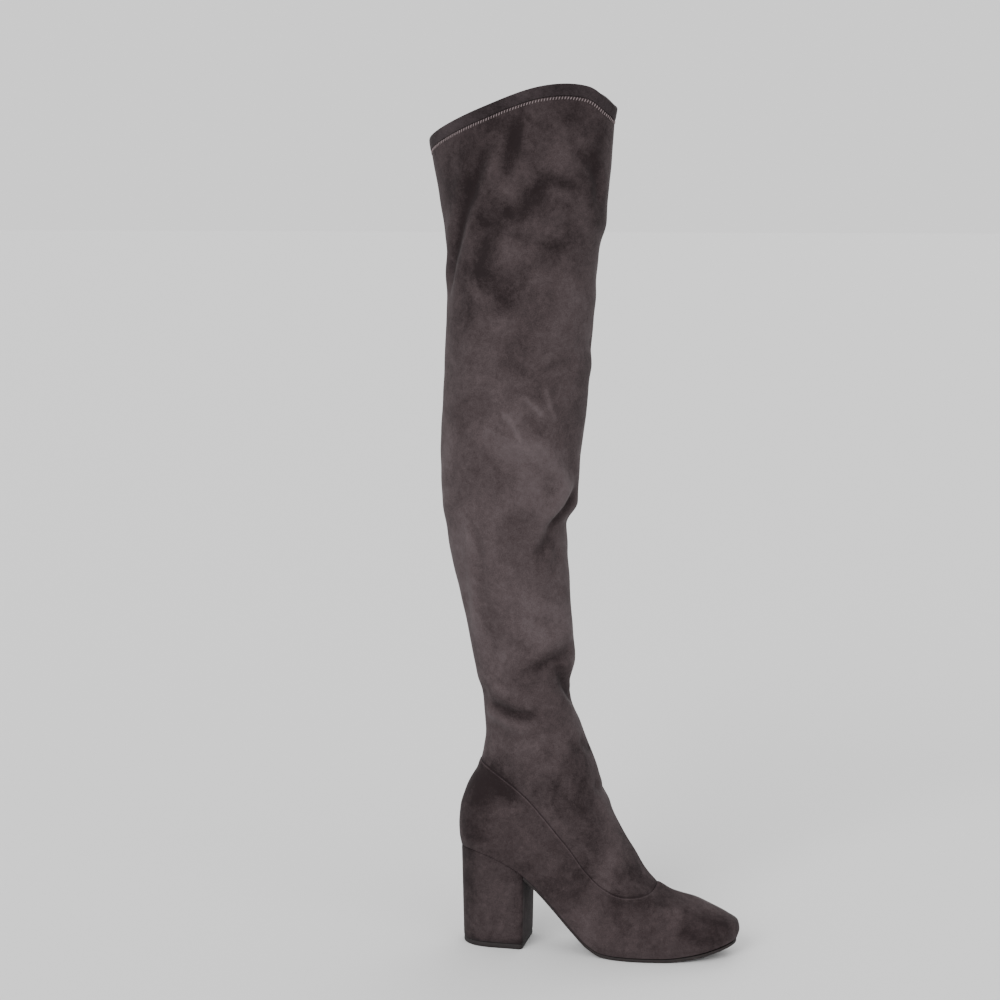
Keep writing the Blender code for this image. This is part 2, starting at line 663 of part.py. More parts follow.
def main():
    for old in list(bpy.data.objects):
        bpy.data.objects.remove(old, do_unlink=True)
    suede = material("suede", (0.078, 0.061, 0.061), 0.95)
    heel_suede = material("heel_suede", (0.055, 0.041, 0.042), 0.95)
    board = material("insole_board", (0.16, 0.12, 0.10), 0.8)
    leather = material("sole_leather", (0.012, 0.011, 0.011), 0.6)
    rubber = material("lift_rubber", (0.008, 0.008, 0.008), 0.7)
    chain = material("zip_chain", (0.085, 0.07, 0.07), 0.6)
    nickel = material("dark_nickel", (0.20, 0.19, 0.185), 0.3, 1.0)
    make_upper(suede)
    make_shaft(suede)
    make_collar_band(suede)
    make_insole(board)
    make_outsole(leather)
    make_heel(heel_suede)
    make_top_lift(rubber)
    make_zip_tape(chain)
    make_zip_slider(nickel)
    make_zip_pull(nickel)


main()
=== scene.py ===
import math
from collections import namedtuple

import bmesh
import bpy
import numpy as np
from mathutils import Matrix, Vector


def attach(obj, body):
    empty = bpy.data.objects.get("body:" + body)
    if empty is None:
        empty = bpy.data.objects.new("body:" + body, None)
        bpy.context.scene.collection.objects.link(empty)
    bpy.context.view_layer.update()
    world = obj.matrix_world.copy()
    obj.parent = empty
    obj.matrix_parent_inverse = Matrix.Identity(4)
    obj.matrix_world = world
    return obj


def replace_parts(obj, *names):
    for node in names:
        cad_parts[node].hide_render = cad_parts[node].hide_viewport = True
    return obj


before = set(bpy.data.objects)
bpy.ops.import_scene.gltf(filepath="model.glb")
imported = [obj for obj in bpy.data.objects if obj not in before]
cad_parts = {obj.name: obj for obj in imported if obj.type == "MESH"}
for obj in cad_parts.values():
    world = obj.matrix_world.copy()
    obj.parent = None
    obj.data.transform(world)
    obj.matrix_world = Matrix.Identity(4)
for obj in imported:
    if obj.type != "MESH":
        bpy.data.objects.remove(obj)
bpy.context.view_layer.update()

# The boot's sizes, in metres, as in the part's source
FOOT_LENGTH = 0.244
HEEL_HEIGHT = 0.0875
HEEL_BACK = -0.0325
BALL_WIDTH = 0.079
SEAT_WIDTH = 0.056
TOE_SPRING = 0.013
VAMP_HEIGHT = 0.058
COUNTER_HEIGHT = 0.075
SOLE_THICKNESS = 0.003
INSOLE_THICKNESS = 0.0025
INSOLE_GAP = 0.0007
ANKLE_HEIGHT = 0.124
ANKLE_DEPTH = 0.080
ANKLE_WIDTH = 0.066
KNEE_DEPTH = 0.101
CALF_DEPTH = 0.122
CALF_WIDTH = 0.098
THIGH_DEPTH = 0.157
THIGH_WIDTH = 0.090
LEG_LENGTH = 0.4744
COLLAR_ARCH = 0.026
COLLAR_RISE = 0.027
BAND_HEIGHT = 0.0096
UPPER_WALL = 0.002
SHAFT_WALL = 0.0015
BAND_WALL = 0.002
BAND_STEP = 0.0003
CLEARANCE = 0.0003
HEEL_TOP_LENGTH = 0.0605
HEEL_BASE_BACK = -0.029
HEEL_BASE_LENGTH = 0.056
HEEL_BASE_WIDTH = 0.048
HEEL_CORNER = 0.003
LIFT_THICKNESS = 0.0045
ZIP_WIDTH = 0.007
SLIDER_LENGTH = 0.014
SLIDER_WIDTH = 0.009
SLIDER_PLATE = 0.0022
SLIDER_LIFT = 0.00045
BRIDGE_LENGTH = 0.0104
BRIDGE_WIDTH = 0.0028
BRIDGE_GAP = 0.002
BRIDGE_THICKNESS = 0.0012
PULL_LENGTH = 0.0165
PULL_WIDTH = 0.007
PULL_THICKNESS = 0.0012
FLOOR_FEATHER = SOLE_THICKNESS + CLEARANCE
HEEL_BASE = LIFT_THICKNESS + CLEARANCE

# Mesh fineness: coarse cells, each split this many times on the outside
SPLIT = 3
SIDE_CELLS = 48
ZIP_CELL = 22

# Rings: power of their round ends, start and length of the eases between their widths
CAP_POWER = 2.2
REAR_TO_MIDDLE = (0.12, 0.28)
MIDDLE_TO_FORE = (0.40, 0.26)

# Small steps round the boot and up it, to measure directions, and a tolerance of heights
TURN_STEP = 0.0005
HEIGHT_STEP = 0.0002
TINY = 1e-9

# Share of the upper's height over which its wall turns from level to square with the surface
UPRIGHT_FROM = 0.15

# Turned edge of the upper, padding of the band, lining, roundness of the heel, lips of the zip,
# pitch of the stitches, and bands of a wave texture in one unit of its scale
UPPER_EDGE = 0.0008
BAND_PADDING = 0.0004
LINING_COLUMNS = 96
LINING_THICKNESS = 0.0005
LINING_TUCK = 0.003
HEEL_POWER = 2.3
LIP_GAP = 0.00045
LIP_TONE = -0.4
STITCH_PITCH = 0.0024
WAVE_SCALE = 0.31

# Sole's edge: inset, share of its thickness
SOLE_EDGES = [(0.0014, 0.0), (0.0009, 0.08), (0.0008, 0.35), (0.0008, 0.75), (0.0010, 0.93), (0.0016, 1.0)]

# Top lift's edge: height, inset
LIFT_EDGES = [(0.0, 0.0012), (0.0004, 0.0006), (0.0012, 0.0002), (LIFT_THICKNESS - 0.0006, 0.0002),
              (LIFT_THICKNESS, 0.0006)]

# Slider's outline: share of its half length, share of its half width
SLIDER_SIDES = [(-1.0, 0.45), (-0.94, 0.68), (-0.75, 0.82), (-0.3, 0.86), (0.1, 0.90), (0.5, 0.99),
                (0.78, 1.0), (0.94, 0.84), (1.0, 0.50)]

# Relief beside the zip: distance from its line, half width, rise, painted shade (below zero a painted
# highlight on a raised edge)
PLACKET = [(0.0048, 0.0014, 0.0006, -0.7), (0.0088, 0.0010, -0.0005, 0.9), (0.0107, 0.0010, 0.0003, -0.4)]

# Gentle swell of the worn fabric: height, length, seed
SWELLS = [(0.0008, 0.085, 3), (0.0003, 0.028, 5)]

# Folds: height of the swell beside a trough, share of the path over which it fades, limit of the painted
# shade and highlight
FOLD_SWELL = 0.32
FOLD_TAPER = 0.2
FOLD_SHADE_LIMIT = 1.4

# Nap: scale, detail, roughness and distortion of each layer of noise, with its weight
NAP_LAYERS = [((19.0, 4.0, 0.55, 0.8), 0.66), ((75.0, 4.0, 0.6, 1.2), 0.22),
              ((260.0, 3.0, 0.6, 0.5), 0.24), ((1300.0, 2.0, 0.7), 0.40)]
NAP_LEVEL = 0.26
# Darkening of the nap for each unit of a point's painted shade and tone
NAP_SHADE_AND_TONE = 0.16

# Places of the colour sockets of a mix node
MIX_FIRST, MIX_SECOND, MIX_RESULT = 6, 7, 2

# Suedes: name, colours of the deep, the middle and the raised nap
SUEDES = [
    ("stretch_suede", (0.0120, 0.0076, 0.0082), (0.044, 0.0322, 0.0335), (0.078, 0.0605, 0.0630)),
    ("vamp_suede", (0.0115, 0.0071, 0.0077), (0.041, 0.0296, 0.0308), (0.072, 0.0550, 0.0575)),
    ("heel_suede", (0.0110, 0.0071, 0.0077), (0.040, 0.0290, 0.0302), (0.070, 0.0540, 0.0565)),
    ("zip_lip_suede", (0.022, 0.017, 0.018), (0.062, 0.050, 0.053), (0.105, 0.088, 0.093)),
    ("band_suede", (0.0110, 0.0076, 0.0082), (0.034, 0.0255, 0.0275), (0.058, 0.0465, 0.0495)),
]

# Weaves: name, dark and light colour, width of a thread
WEAVES = [
    ("lining_cloth", (0.020, 0.016, 0.016), (0.050, 0.041, 0.041), 0.0006),
    ("zip_tape_cloth", (0.055, 0.043, 0.044), (0.12, 0.098, 0.10), 0.0005),
]

# Other finishes: name, dark and light colour, scale, lowest and highest roughness, relief, metal
SPECKLES = [
    ("sole_edge", (0.007, 0.005, 0.005), (0.022, 0.016, 0.016), 180.0, 0.68, 0.88, 0.0002, 0.0),
    ("lift_rubber", (0.007, 0.005, 0.005), (0.019, 0.015, 0.015), 260.0, 0.68, 0.88, 0.0002, 0.0),
    ("insole_sock", (0.06, 0.045, 0.04), (0.12, 0.09, 0.08), 120.0, 0.6, 0.8, 0.0001, 0.0),
    ("dark_nickel", (0.095, 0.096, 0.115), (0.135, 0.136, 0.165), 350.0, 0.22, 0.36, 0.00002, 1.0),
    ("zip_teeth", (0.035, 0.028, 0.029), (0.09, 0.074, 0.076), 400.0, 0.4, 0.6, 0.00005, 0.0),
    ("light_thread", (0.11, 0.085, 0.088), (0.225, 0.178, 0.182), 900.0, 0.6, 0.8, 0.00005, 0.0),
    ("dark_thread", (0.05, 0.038, 0.039), (0.11, 0.088, 0.09), 900.0, 0.6, 0.8, 0.00005, 0.0),
]

# Camera, found from the outline of the boot in the photograph
CAMERA_PLACE = (0.4134, -1.8545, 0.640)
CAMERA_TURN = 12.5
CAMERA_TILT = 8.1
CAMERA_LENS = 81.4
CAMERA_SHIFT = 0.0193

# Bottom line of the last: along the foot, share of the heel's height, share of the toe's spring
BOTTOM = [
    (0.000, 1.000, 0.00),
    (0.050, 0.994, 0.00),
    (0.113, 0.953, 0.00),
    (0.166, 0.890, 0.00),
    (0.232, 0.785, 0.00),
    (0.290, 0.650, 0.00),
    (0.355, 0.455, 0.00),
    (0.424, 0.232, 0.00),
    (0.480, 0.080, 0.00),
    (0.530, 0.013, 0.00),
    (0.585, 0.000, 0.00),
    (0.740, 0.000, 0.00),
    (0.850, 0.000, 0.22),
    (0.930, 0.000, 0.58),
    (1.000, 0.000, 1.00),
]

# Rings round the foot: back end, its rise, front end, share of the toe's spring, share of the vamp,
# follow, drop, half widths on the outer and the inner side, round back, round front, turn of the toe
FOOT_RINGS = [
    (0.006, 0.00, 0.988, 1, 0.000, 1.00, 0.00, (0.988, 0.73, 0.940), (0.973, 0.56, 0.940), 0.125, 0.60, 0.10),
    (0.001, 0.10, 0.995, 1, 0.110, 1.00, 0.00, (1.037, 0.78, 0.990), (1.030, 0.62, 1.000), 0.125, 0.60, 0.10),
    (0.000, 0.22, 0.990, 1, 0.225, 1.00, 0.02, (1.051, 0.80, 1.000), (1.037, 0.67, 1.000), 0.130, 0.62, 0.09),
    (0.006, 0.40, 0.953, 1, 0.335, 1.00, 0.06, (1.030, 0.80, 0.955), (1.016, 0.70, 0.940), 0.140, 0.65, 0.07),
    (0.022, 0.62, 0.860, 0, 0.745, 0.97, 0.11, (0.973, 0.79, 0.900), (0.959, 0.73, 0.870), 0.150, 0.70, 0.03),
    (0.076, 1.00, 0.707, 0, 1.000, 0.84, 0.21, (0.875, 0.78, 0.850), (0.875, 0.74, 0.810), 0.200, 0.77, 0.00),
]

# Rings over the instep: back end, its rise, front end, share of the heel's height, rise, follow, drop,
# half widths at back, middle and front, round back, round front
ANKLE_RINGS = [
    (0.088, 0.69, 0.622, 0.60, 0.300, 0.68, 0.09, (0.80, 0.97, 1.00), 0.26, 0.72),
    (0.093, 0.79, 0.558, 0.80, 0.385, 0.50, 0.06, (0.84, 0.99, 0.99), 0.34, 0.64),
    (0.091, 0.90, 0.508, 0.92, 0.520, 0.33, 0.03, (0.88, 1.00, 0.98), 0.42, 0.58),
    (0.085, 1.00, 0.468, 0.97, 0.690, 0.17, 0.01, (0.93, 1.00, 0.98), 0.47, 0.54),
]

# Rings up the leg: rise, depth, part of it behind the heel's centre, width, lean on the ankle's height,
# lean and arch on the collar's
LEG_RINGS = [
    (0.026, 1.070 * ANKLE_DEPTH, 0.152, 0.99 * ANKLE_WIDTH, -0.218),
    (0.052, 1.025 * ANKLE_DEPTH, 0.201, 0.99 * ANKLE_WIDTH, -0.161),
    (0.081, 1.025 * ANKLE_DEPTH, 0.232, 1.00 * ANKLE_WIDTH, -0.145),
    (0.115, 1.120 * ANKLE_DEPTH, 0.246, 1.05 * ANKLE_WIDTH, -0.129),
    (0.161, 1.160 * ANKLE_DEPTH, 0.296, 0.75 * CALF_WIDTH, -0.081),
    (0.224, 0.955 * KNEE_DEPTH, 0.3575, 0.82 * CALF_WIDTH, -0.024),
    (0.281, 0.990 * KNEE_DEPTH, 0.400, 0.88 * CALF_WIDTH),
    (0.326, 1.020 * KNEE_DEPTH, 0.417, 0.92 * CALF_WIDTH),
    (0.368, 0.950 * CALF_DEPTH, 0.401, 0.945 * CALF_WIDTH),
    (0.456, 0.984 * CALF_DEPTH, 0.400, 0.985 * CALF_WIDTH),
    (0.549, 1.003 * CALF_DEPTH, 0.383, 1.00 * CALF_WIDTH),
    (0.638, 1.008 * CALF_DEPTH, 0.366, 0.98 * CALF_WIDTH),
    (0.724, 1.020 * CALF_DEPTH, 0.337, 0.95 * CALF_WIDTH),
    (0.804, 0.812 * THIGH_DEPTH, 0.3255, 1.02 * THIGH_WIDTH),
    (0.859, 0.873 * THIGH_DEPTH, 0.3285, 1.01 * THIGH_WIDTH, 0.0, 0.10, 0.15),
    (0.913, 0.920 * THIGH_DEPTH, 0.3426, 1.00 * THIGH_WIDTH, 0.0, 0.40, 0.50),
    (0.960, 0.962 * THIGH_DEPTH, 0.3576, 1.00 * THIGH_WIDTH, 0.0, 0.80, 0.85),
    (1.000 - BAND_HEIGHT / LEG_LENGTH, 0.980 * THIGH_DEPTH, 0.361, 1.00 * THIGH_WIDTH, 0.0, 1.00, 1.00),
    (1.000, 1.000 * THIGH_DEPTH, 0.363, 1.00 * THIGH_WIDTH, 0.0, 1.00, 1.00),
]

# The zip's line: along the foot, share of the heel's height, share of the ankle's height,
# and its ends: share of the seam's height, share of the way between two rings above the ankle
ZIP_TOP = (0.254, 1.0, 1.125)
ZIP_FOOT = (0.404, 0.4, 0.0)
ZIP_END = 0.20
ZIP_RISE = 2.2

# How the collar settles after wear: turn, rise
COLLAR_SETTLE = [
    (0.000, 0.0),
    (0.200, 0.0),
    (0.300, 0.0020),
    (0.390, 0.0005),
    (0.445, -0.0042),
    (0.500, -0.0030),
    (0.560, -0.0068),
    (0.615, -0.0025),
    (0.660, 0.0),
    (1.000, 0.0),
]

# Rounding of the collar's dips: rise at the front and the back, turn over which it fades
COLLAR_ROUND_FRONT = 0.0024
COLLAR_ROUND_BACK = 0.0009
COLLAR_ROUND_TURN = 0.024

# Tone of the nap up the boot: share of its height, darkening
TONE_UP = [(0.0, 0.70), (0.12, 0.60), (0.22, 0.42), (0.32, 0.20), (0.40, -0.10), (0.55, -0.15), (0.68, -0.05),
           (0.78, 0.28), (0.86, 0.55), (0.96, 0.74), (1.0, 0.74)]

# Folds of the leg: depth (a ridge is below zero) and half width in thousandths of a metre,
# painted shade along the fold (below zero a painted highlight; rows of no depth only paint it),
# and a path in thousandths of a turn round the boot, from the back over the outer side, and of its height
FOLDS = [
    (3.6, 6.2, 0.5, [(232, 962), (195, 948), (173, 924), (147, 898), (122, 874), (98, 851), (70, 820),
                     (50, 780)]),
    (2.4, 6.2, 1, [(272, 988), (258, 962), (245, 938), (224, 912)]),
    (0, 4.5, 0.6, [(272, 975), (256, 957), (243, 936), (232, 922)]),
    (2.4, 9.5, 0.45, [(165, 858), (203, 876), (245, 888), (290, 900), (338, 908)]),
    (0, 12, 0.5, [(215, 878), (235, 885), (262, 893), (290, 901), (320, 908)]),
    (0, 9, 0.9, [(235, 885), (250, 889), (268, 893), (282, 897)]),
    (0, 12, 0.5, [(190, 868), (195, 850), (205, 830)]),
    (0, 20, 0.8, [(140, 850), (190, 825), (225, 795), (235, 760)]),
    (2, 4.2, 1, [(285, 910), (315, 914), (345, 913), (380, 905)]),
    (1.2, 5, 0.5, [(190, 866), (230, 868), (292, 858), (350, 852), (380, 854)]),
    (0.8, 3.5, 0.5, [(345, 877), (388, 876)]),
    (2.2, 4.8, 0.5, [(345, 958), (372, 941), (408, 931), (435, 912), (440, 890)]),
    (-0.7, 2, -1.6, [(250, 658), (278, 640), (300, 618)]),
    (-0.7, 2, -1.6, [(290, 678), (318, 665), (345, 651)]),
    (-0.7, 2, -1.3, [(340, 690), (358, 665), (378, 641)]),
    (0.8, 6, 0.6, [(300, 655), (325, 640), (355, 628)]),
    (-2.2, 8, -0.9, [(280, 626), (335, 607), (370, 594), (403, 574), (417, 557), (393, 532), (383, 505),
                     (350, 475)]),
    (3, 5.5, 1.4, [(492, 560), (462, 551), (440, 541), (420, 530), (402, 511), (372, 485), (345, 470)]),
    (1.5, 5.5, 0.3, [(420, 738), (470, 735), (530, 738)]),
    (-1.3, 8, -0.2, [(410, 708), (470, 706), (540, 710)]),
    (1.2, 6, 0.5, [(405, 505), (425, 485), (440, 460)]),
    (-1.2, 5.5, -0.5, [(178, 525), (165, 480), (150, 430), (122, 385), (98, 350)]),
    (0.8, 4.5, 0.3, [(205, 510), (190, 455), (165, 400)]),
    (-1.8, 7, -0.4, [(310, 362), (360, 376), (430, 385), (500, 385)]),
    (2.2, 5, 1, [(280, 336), (320, 343), (360, 351), (422, 361), (480, 366)]),
    (2.8, 5.2, 1.1, [(365, 350), (410, 338), (450, 322), (485, 310), (540, 302)]),
    (1, 5, 0.5, [(228, 367), (265, 366), (307, 361)]),
    (2.8, 4.6, 1.25, [(95, 258), (150, 267), (208, 271), (255, 275), (310, 282)]),
    (-1.5, 6, -0.8, [(60, 242), (140, 248), (205, 250), (270, 256)]),
    (-1, 5, -0.6, [(140, 296), (200, 300), (270, 306)]),
    (1.2, 5, 0.7, [(385, 264), (405, 258), (430, 250)]),
    (1, 6, 0.6, [(385, 210), (405, 198), (428, 184)]),
    (0.9, 8, 0.6, [(270, 195), (320, 190), (370, 200)]),
    (0.6, 6, 0.5, [(470, 112), (440, 100), (410, 85)]),
    (0, 13.5, 1.6, [(385, 58), (412, 42), (435, 32), (475, 30)]),
    (0, 15, 0.2, [(165, 180), (200, 155), (240, 138), (270, 125)]),
    (0, 3.6, 1.2, [(215, 966), (195, 948), (173, 924), (147, 898), (122, 874), (98, 851), (70, 820)]),
    (0, 5, 0.5, [(222, 962), (198, 938), (182, 920), (165, 905)]),
    (0, 16, 0.35, [(170, 985), (135, 955), (105, 920), (90, 890)]),
    (0, 22, -0.5, [(330, 840), (345, 800), (340, 760), (320, 730)]),
    (0, 6, 0.7, [(435, 980), (422, 930), (415, 890)]),
    (0, 13, -0.8, [(355, 965), (350, 935), (330, 918)]),
    (0, 7, -0.3, [(225, 875), (262, 877)]),
    (0, 20, 1.3, [(20, 130), (50, 100), (65, 63), (75, 10), (80, -20)]),
    (0, 11, 0.8, [(60, 110), (95, 108), (140, 104), (170, 98)]),
    (0, 11, 0.7, [(395, 262), (365, 225), (352, 200), (375, 160)]),
    (0, 9, 0.7, [(345, 130), (380, 118), (417, 104), (443, 93)]),
    (0, 10, 0.5, [(160, 840), (150, 800), (145, 750)]),
    (0, 18, -0.4, [(260, 670), (292, 630), (310, 590)]),
    (0, 16, -0.4, [(260, 480), (292, 425), (300, 380)]),
    (0, 11, -0.2, [(165, 70), (190, 58), (215, 48)]),
    (0, 10, -0.3, [(235, 45), (250, 31), (275, 25)]),
    (1.6, 5, 0.4, [(430, 226), (470, 216), (520, 214), (560, 222)]),
    (1.4, 5, 0.4, [(440, 266), (480, 256), (530, 254)]),
    (0, 15, -0.4, [(700, 800), (740, 780), (790, 790)]),
    (0, 16, -0.4, [(740, 560), (760, 500), (790, 450)]),
    (0, 12, 0.6, [(930, 600), (920, 540), (915, 480)]),
    (0, 12, 0.6, [(850, 300), (880, 260), (900, 220)]),
    (3.4, 6.2, 0.9, [(660, 962), (640, 935), (610, 905), (575, 880), (540, 850)]),
    (3, 8, 1, [(955, 705), (915, 712), (878, 718), (835, 730), (799, 736), (750, 722), (700, 700)]),
    (1.2, 3.5, 0.6, [(960, 800), (890, 806), (820, 809)]),
    (1.2, 7, 0.6, [(740, 625), (700, 615), (648, 607)]),
    (2.2, 6, 0.9, [(925, 520), (900, 490), (880, 450)]),
    (2, 6, 0.8, [(655, 480), (685, 455), (720, 425)]),
    (2, 9, 0.9, [(930, 372), (870, 366), (800, 362), (720, 368)]),
    (1.4, 4, 0.7, [(800, 338), (750, 345), (690, 340)]),
    (3, 6, 1, [(672, 312), (645, 292), (615, 268), (585, 240), (560, 215)]),
    (2.8, 6.5, 1, [(860, 232), (825, 215), (790, 195), (758, 180)]),
    (1.8, 5, 0.8, [(985, 300), (940, 292), (890, 290)]),
]

Ring = namedtuple("Ring", "back_x back_z front_x front_z follow drop arch "
                          "outer_rear outer_middle outer_fore inner_rear inner_middle inner_fore "
                          "round_back round_front turn")


def along(share):
    """Distance in front of the heel's centre at a share of the foot's length."""
    return HEEL_BACK + share * FOOT_LENGTH


def ease(amount, start, length):
    """Smooth step from 0 to 1 over a length from a start."""
    amount = np.clip((amount - start) / length, 0.0, 1.0)
    return amount * amount * (3.0 - 2.0 * amount)


def bell(distance, width):
    """Rounded rise of unit height that fades on both sides of its middle."""
    return np.exp(-(distance / width) ** 2)


def make_curve(stations, rows):
    """Smooth curve through rows of values at the stations, with no overshoot between them."""
    stations = np.asarray(stations, float)
    rows = np.asarray(rows, float)
    step = np.diff(stations)[:, None]
    slope = np.diff(rows, axis=0) / step
    tangent = np.zeros(rows.shape)
    tangent[0] = slope[0]
    tangent[-1] = slope[-1]
    before = 2.0 * step[1:] + step[:-1]
    after = step[1:] + 2.0 * step[:-1]
    same_way = slope[:-1] * slope[1:] > 0.0
    low = np.where(same_way, slope[:-1], 1.0)
    high = np.where(same_way, slope[1:], 1.0)
    tangent[1:-1] = np.where(same_way, (before + after) / (before / low + after / high), 0.0)
    return stations, rows, tangent


def table_curve(table):
    """Smooth curve through a table that has its stations in the first column."""
    return make_curve([row[0] for row in table], [row[1:] for row in table])


def on_curve(x, curve):
    """Row of values of a smooth curve at each x."""
    stations, rows, tangent = curve
    x = np.clip(x, stations[0], stations[-1])
    cell = np.clip(np.searchsorted(stations, x, side="right") - 1, 0, len(stations) - 2)
    step = (stations[cell + 1] - stations[cell])[..., None]
    t = (x - stations[cell])[..., None] / step
    ends = rows[cell] * (1 + 2 * t) * (1 - t) ** 2 + rows[cell + 1] * t * t * (3 - 2 * t)
    bend = tangent[cell] * t * (1 - t) ** 2 - tangent[cell + 1] * t * t * (1 - t)
    return ends + bend * step


BOTTOM_CURVE = table_curve(BOTTOM)
SETTLE_CURVE = table_curve(COLLAR_SETTLE)
TONE_CURVE = table_curve(TONE_UP)


def bottom_line(x):
    """Height of the upper's lower edge at a distance along the foot."""
    share = (np.asarray(x, float) - HEEL_BACK) / FOOT_LENGTH
    amounts = on_curve(share, BOTTOM_CURVE)
    return FLOOR_FEATHER + (HEEL_HEIGHT - FLOOR_FEATHER) * amounts[..., 0] + TOE_SPRING * amounts[..., 1]


def foot_ring(back, rise, front, spring, vamp, follow, drop, outer, inner, round_back, round_front, turn):
    """Ring of the foot from a row of its table."""
    sizes = (SEAT_WIDTH / 2, BALL_WIDTH / 2, BALL_WIDTH / 2)
    widths = [share * size for share, size in zip(outer + inner, sizes + sizes)]
    front_z = FLOOR_FEATHER + spring * TOE_SPRING + vamp * VAMP_HEIGHT
    return Ring(along(back), HEEL_HEIGHT + rise * COUNTER_HEIGHT, along(front), front_z,
                follow, drop * VAMP_HEIGHT, 0.0, *widths, round_back, round_front, turn * BALL_WIDTH / 2)


def ankle_ring(back, back_rise, front, heel, front_rise, follow, drop, widths, round_back, round_front):
    """Ring over the instep from a row of its table."""
    halves = [share * ANKLE_WIDTH / 2 for share in widths + widths]
    back_z = HEEL_HEIGHT + back_rise * ANKLE_HEIGHT
    front_z = heel * HEEL_HEIGHT + front_rise * ANKLE_HEIGHT
    return Ring(along(back), back_z, along(front), front_z,
                follow, drop * ANKLE_HEIGHT, 0.0, *halves, round_back, round_front, 0.0)


def leg_ring(rise, depth, behind, width, ankle_lean=0.0, collar_lean=0.0, arch=0.0):
    """Ring of the leg from a row of its table."""
    height = HEEL_HEIGHT + ANKLE_HEIGHT + rise * LEG_LENGTH
    lean = ankle_lean * ANKLE_HEIGHT + collar_lean * COLLAR_RISE
    halves = [width / 2] * 6
    return Ring(-behind * depth, height, (1 - behind) * depth, height + lean,
                0.0, 0.0, arch * COLLAR_ARCH, *halves, 0.5, 0.5, 0.0)


RINGS = [foot_ring(*row) for row in FOOT_RINGS]
RINGS += [ankle_ring(*row) for row in ANKLE_RINGS]
RINGS += [leg_ring(*row) for row in LEG_RINGS]


def ring_heights():
    """Place of each ring up the boot: the mean of the ways along its back and its front."""
    heights = [0.0]
    for low, high in zip(RINGS, RINGS[1:]):
        back = math.hypot(high.back_x - low.back_x, high.back_z - low.back_z)
        front = math.hypot(high.front_x - low.front_x, high.front_z - low.front_z)
        heights.append(heights[-1] + (back + front) / 2)
    return heights


HEIGHTS = ring_heights()
SEAM = HEIGHTS[len(FOOT_RINGS) - 1]
ANKLE, ABOVE_ANKLE = HEIGHTS[len(FOOT_RINGS) + len(ANKLE_RINGS) - 1:][:2]
BAND, COLLAR = HEIGHTS[-2:]
ZIP_START = ANKLE + (ABOVE_ANKLE - ANKLE) * ZIP_RISE
ZIP_STOP = ZIP_END * SEAM
RING_CURVE = make_curve(HEIGHTS, RINGS)


def collar_settle(turn):
    """Rise of the worn collar round the boot, with its lowest points at the back and front rounded."""
    turn = turn % 1.0
    at_front = np.abs(turn - 0.5) < 0.25
    away = np.where(at_front, np.abs(turn - 0.5), np.minimum(turn, 1.0 - turn))
    rounding = np.where(at_front, COLLAR_ROUND_FRONT, COLLAR_ROUND_BACK)
    dip = rounding * np.clip(1 - away / COLLAR_ROUND_TURN, 0, 1) ** 2
    return on_curve(turn, SETTLE_CURVE)[..., 0] + dip


def surface(turn, height):
    """Point on the boot's smooth outer surface, before its folds."""
    turn, height = np.broadcast_arrays(np.asarray(turn, float), np.asarray(height, float))
    amounts = on_curve(height, RING_CURVE)
    at = Ring(*(amounts[..., k] for k in range(len(Ring._fields))))
    forward = (1 - np.cos(math.tau * turn)) / 2
    outer = np.sin(math.tau * turn) >= 0
    x = at.back_x + (at.front_x - at.back_x) * forward

    back = np.clip(forward / at.round_back, 0, 1)
    front = np.clip((forward - at.round_front) / (1 - at.round_front), 0, 1)
    power = CAP_POWER + (2 - CAP_POWER) * ease(at.round_back, 0.2, 0.3)
    cap = (1 - (1 - back) ** power) ** (1 / power) * (1 - front ** power) ** (1 / power)

    rear = np.where(outer, at.outer_rear, at.inner_rear)
    middle = np.where(outer, at.outer_middle, at.inner_middle)
    fore = np.where(outer, at.outer_fore, at.inner_fore)
    half = rear + (middle - rear) * ease(forward, *REAR_TO_MIDDLE)
    half = half + (fore - middle) * ease(forward, *MIDDLE_TO_FORE)
    y = np.where(outer, -1.0, 1.0) * half * cap + at.turn * ease(forward, 0.5, 0.5)

    low_back = bottom_line(at.back_x)
    low_front = bottom_line(at.front_x)
    sag = bottom_line(x) - (low_back + (low_front - low_back) * forward)
    z = at.back_z + (at.front_z - at.back_z) * forward + at.follow * sag
    z = z - at.drop * cap * ease(forward, 0.5, 0.35) + at.arch * cap * (0.45 + 0.75 * forward)
    z = z + collar_settle(turn) * ease(height / COLLAR, 0.90, 0.08)
    return np.stack([x, y, z], axis=-1)


def unit(vector):
    return vector / np.linalg.norm(vector, axis=-1, keepdims=True)


def directions(turn, height):
    """Unit vectors round the boot, up it and out of it."""
    round_it = unit(surface(turn + TURN_STEP, height) - surface(turn - TURN_STEP, height))
    low = np.maximum(height - HEIGHT_STEP, 0.0)
    high = np.minimum(height + HEIGHT_STEP, COLLAR)
    up = unit(surface(turn, high) - surface(turn, low))
    return round_it, up, unit(np.cross(round_it, up))


def zip_line(height):
    """Turn at which the zip's line crosses a height on the inner side of the boot."""
    height = np.clip(height, 0.0, ZIP_START)
    top_x, foot_x = along(ZIP_TOP[0]), along(ZIP_FOOT[0])
    top_z, foot_z = (heel * HEEL_HEIGHT + ankle * ANKLE_HEIGHT for _, heel, ankle in (ZIP_TOP, ZIP_FOOT))
    low = np.zeros_like(height) + 0.55
    high = np.zeros_like(height) + 0.95
    for _ in range(30):
        middle = (low + high) / 2
        point = surface(middle, height)
        line_x = top_x + (foot_x - top_x) * (top_z - point[..., 2]) / (top_z - foot_z)
        ahead = point[..., 0] > line_x
        low = np.where(ahead, middle, low)
        high = np.where(ahead, high, middle)
    return (low + high) / 2


def zip_pace(height):
    """Metres round the boot for one whole turn at the zip's line."""
    middle = zip_line(height)
    step = 2 * TURN_STEP
    across = surface(middle + step, height) - surface(middle - step, height)
    return np.linalg.norm(across, axis=-1) / (2 * step)


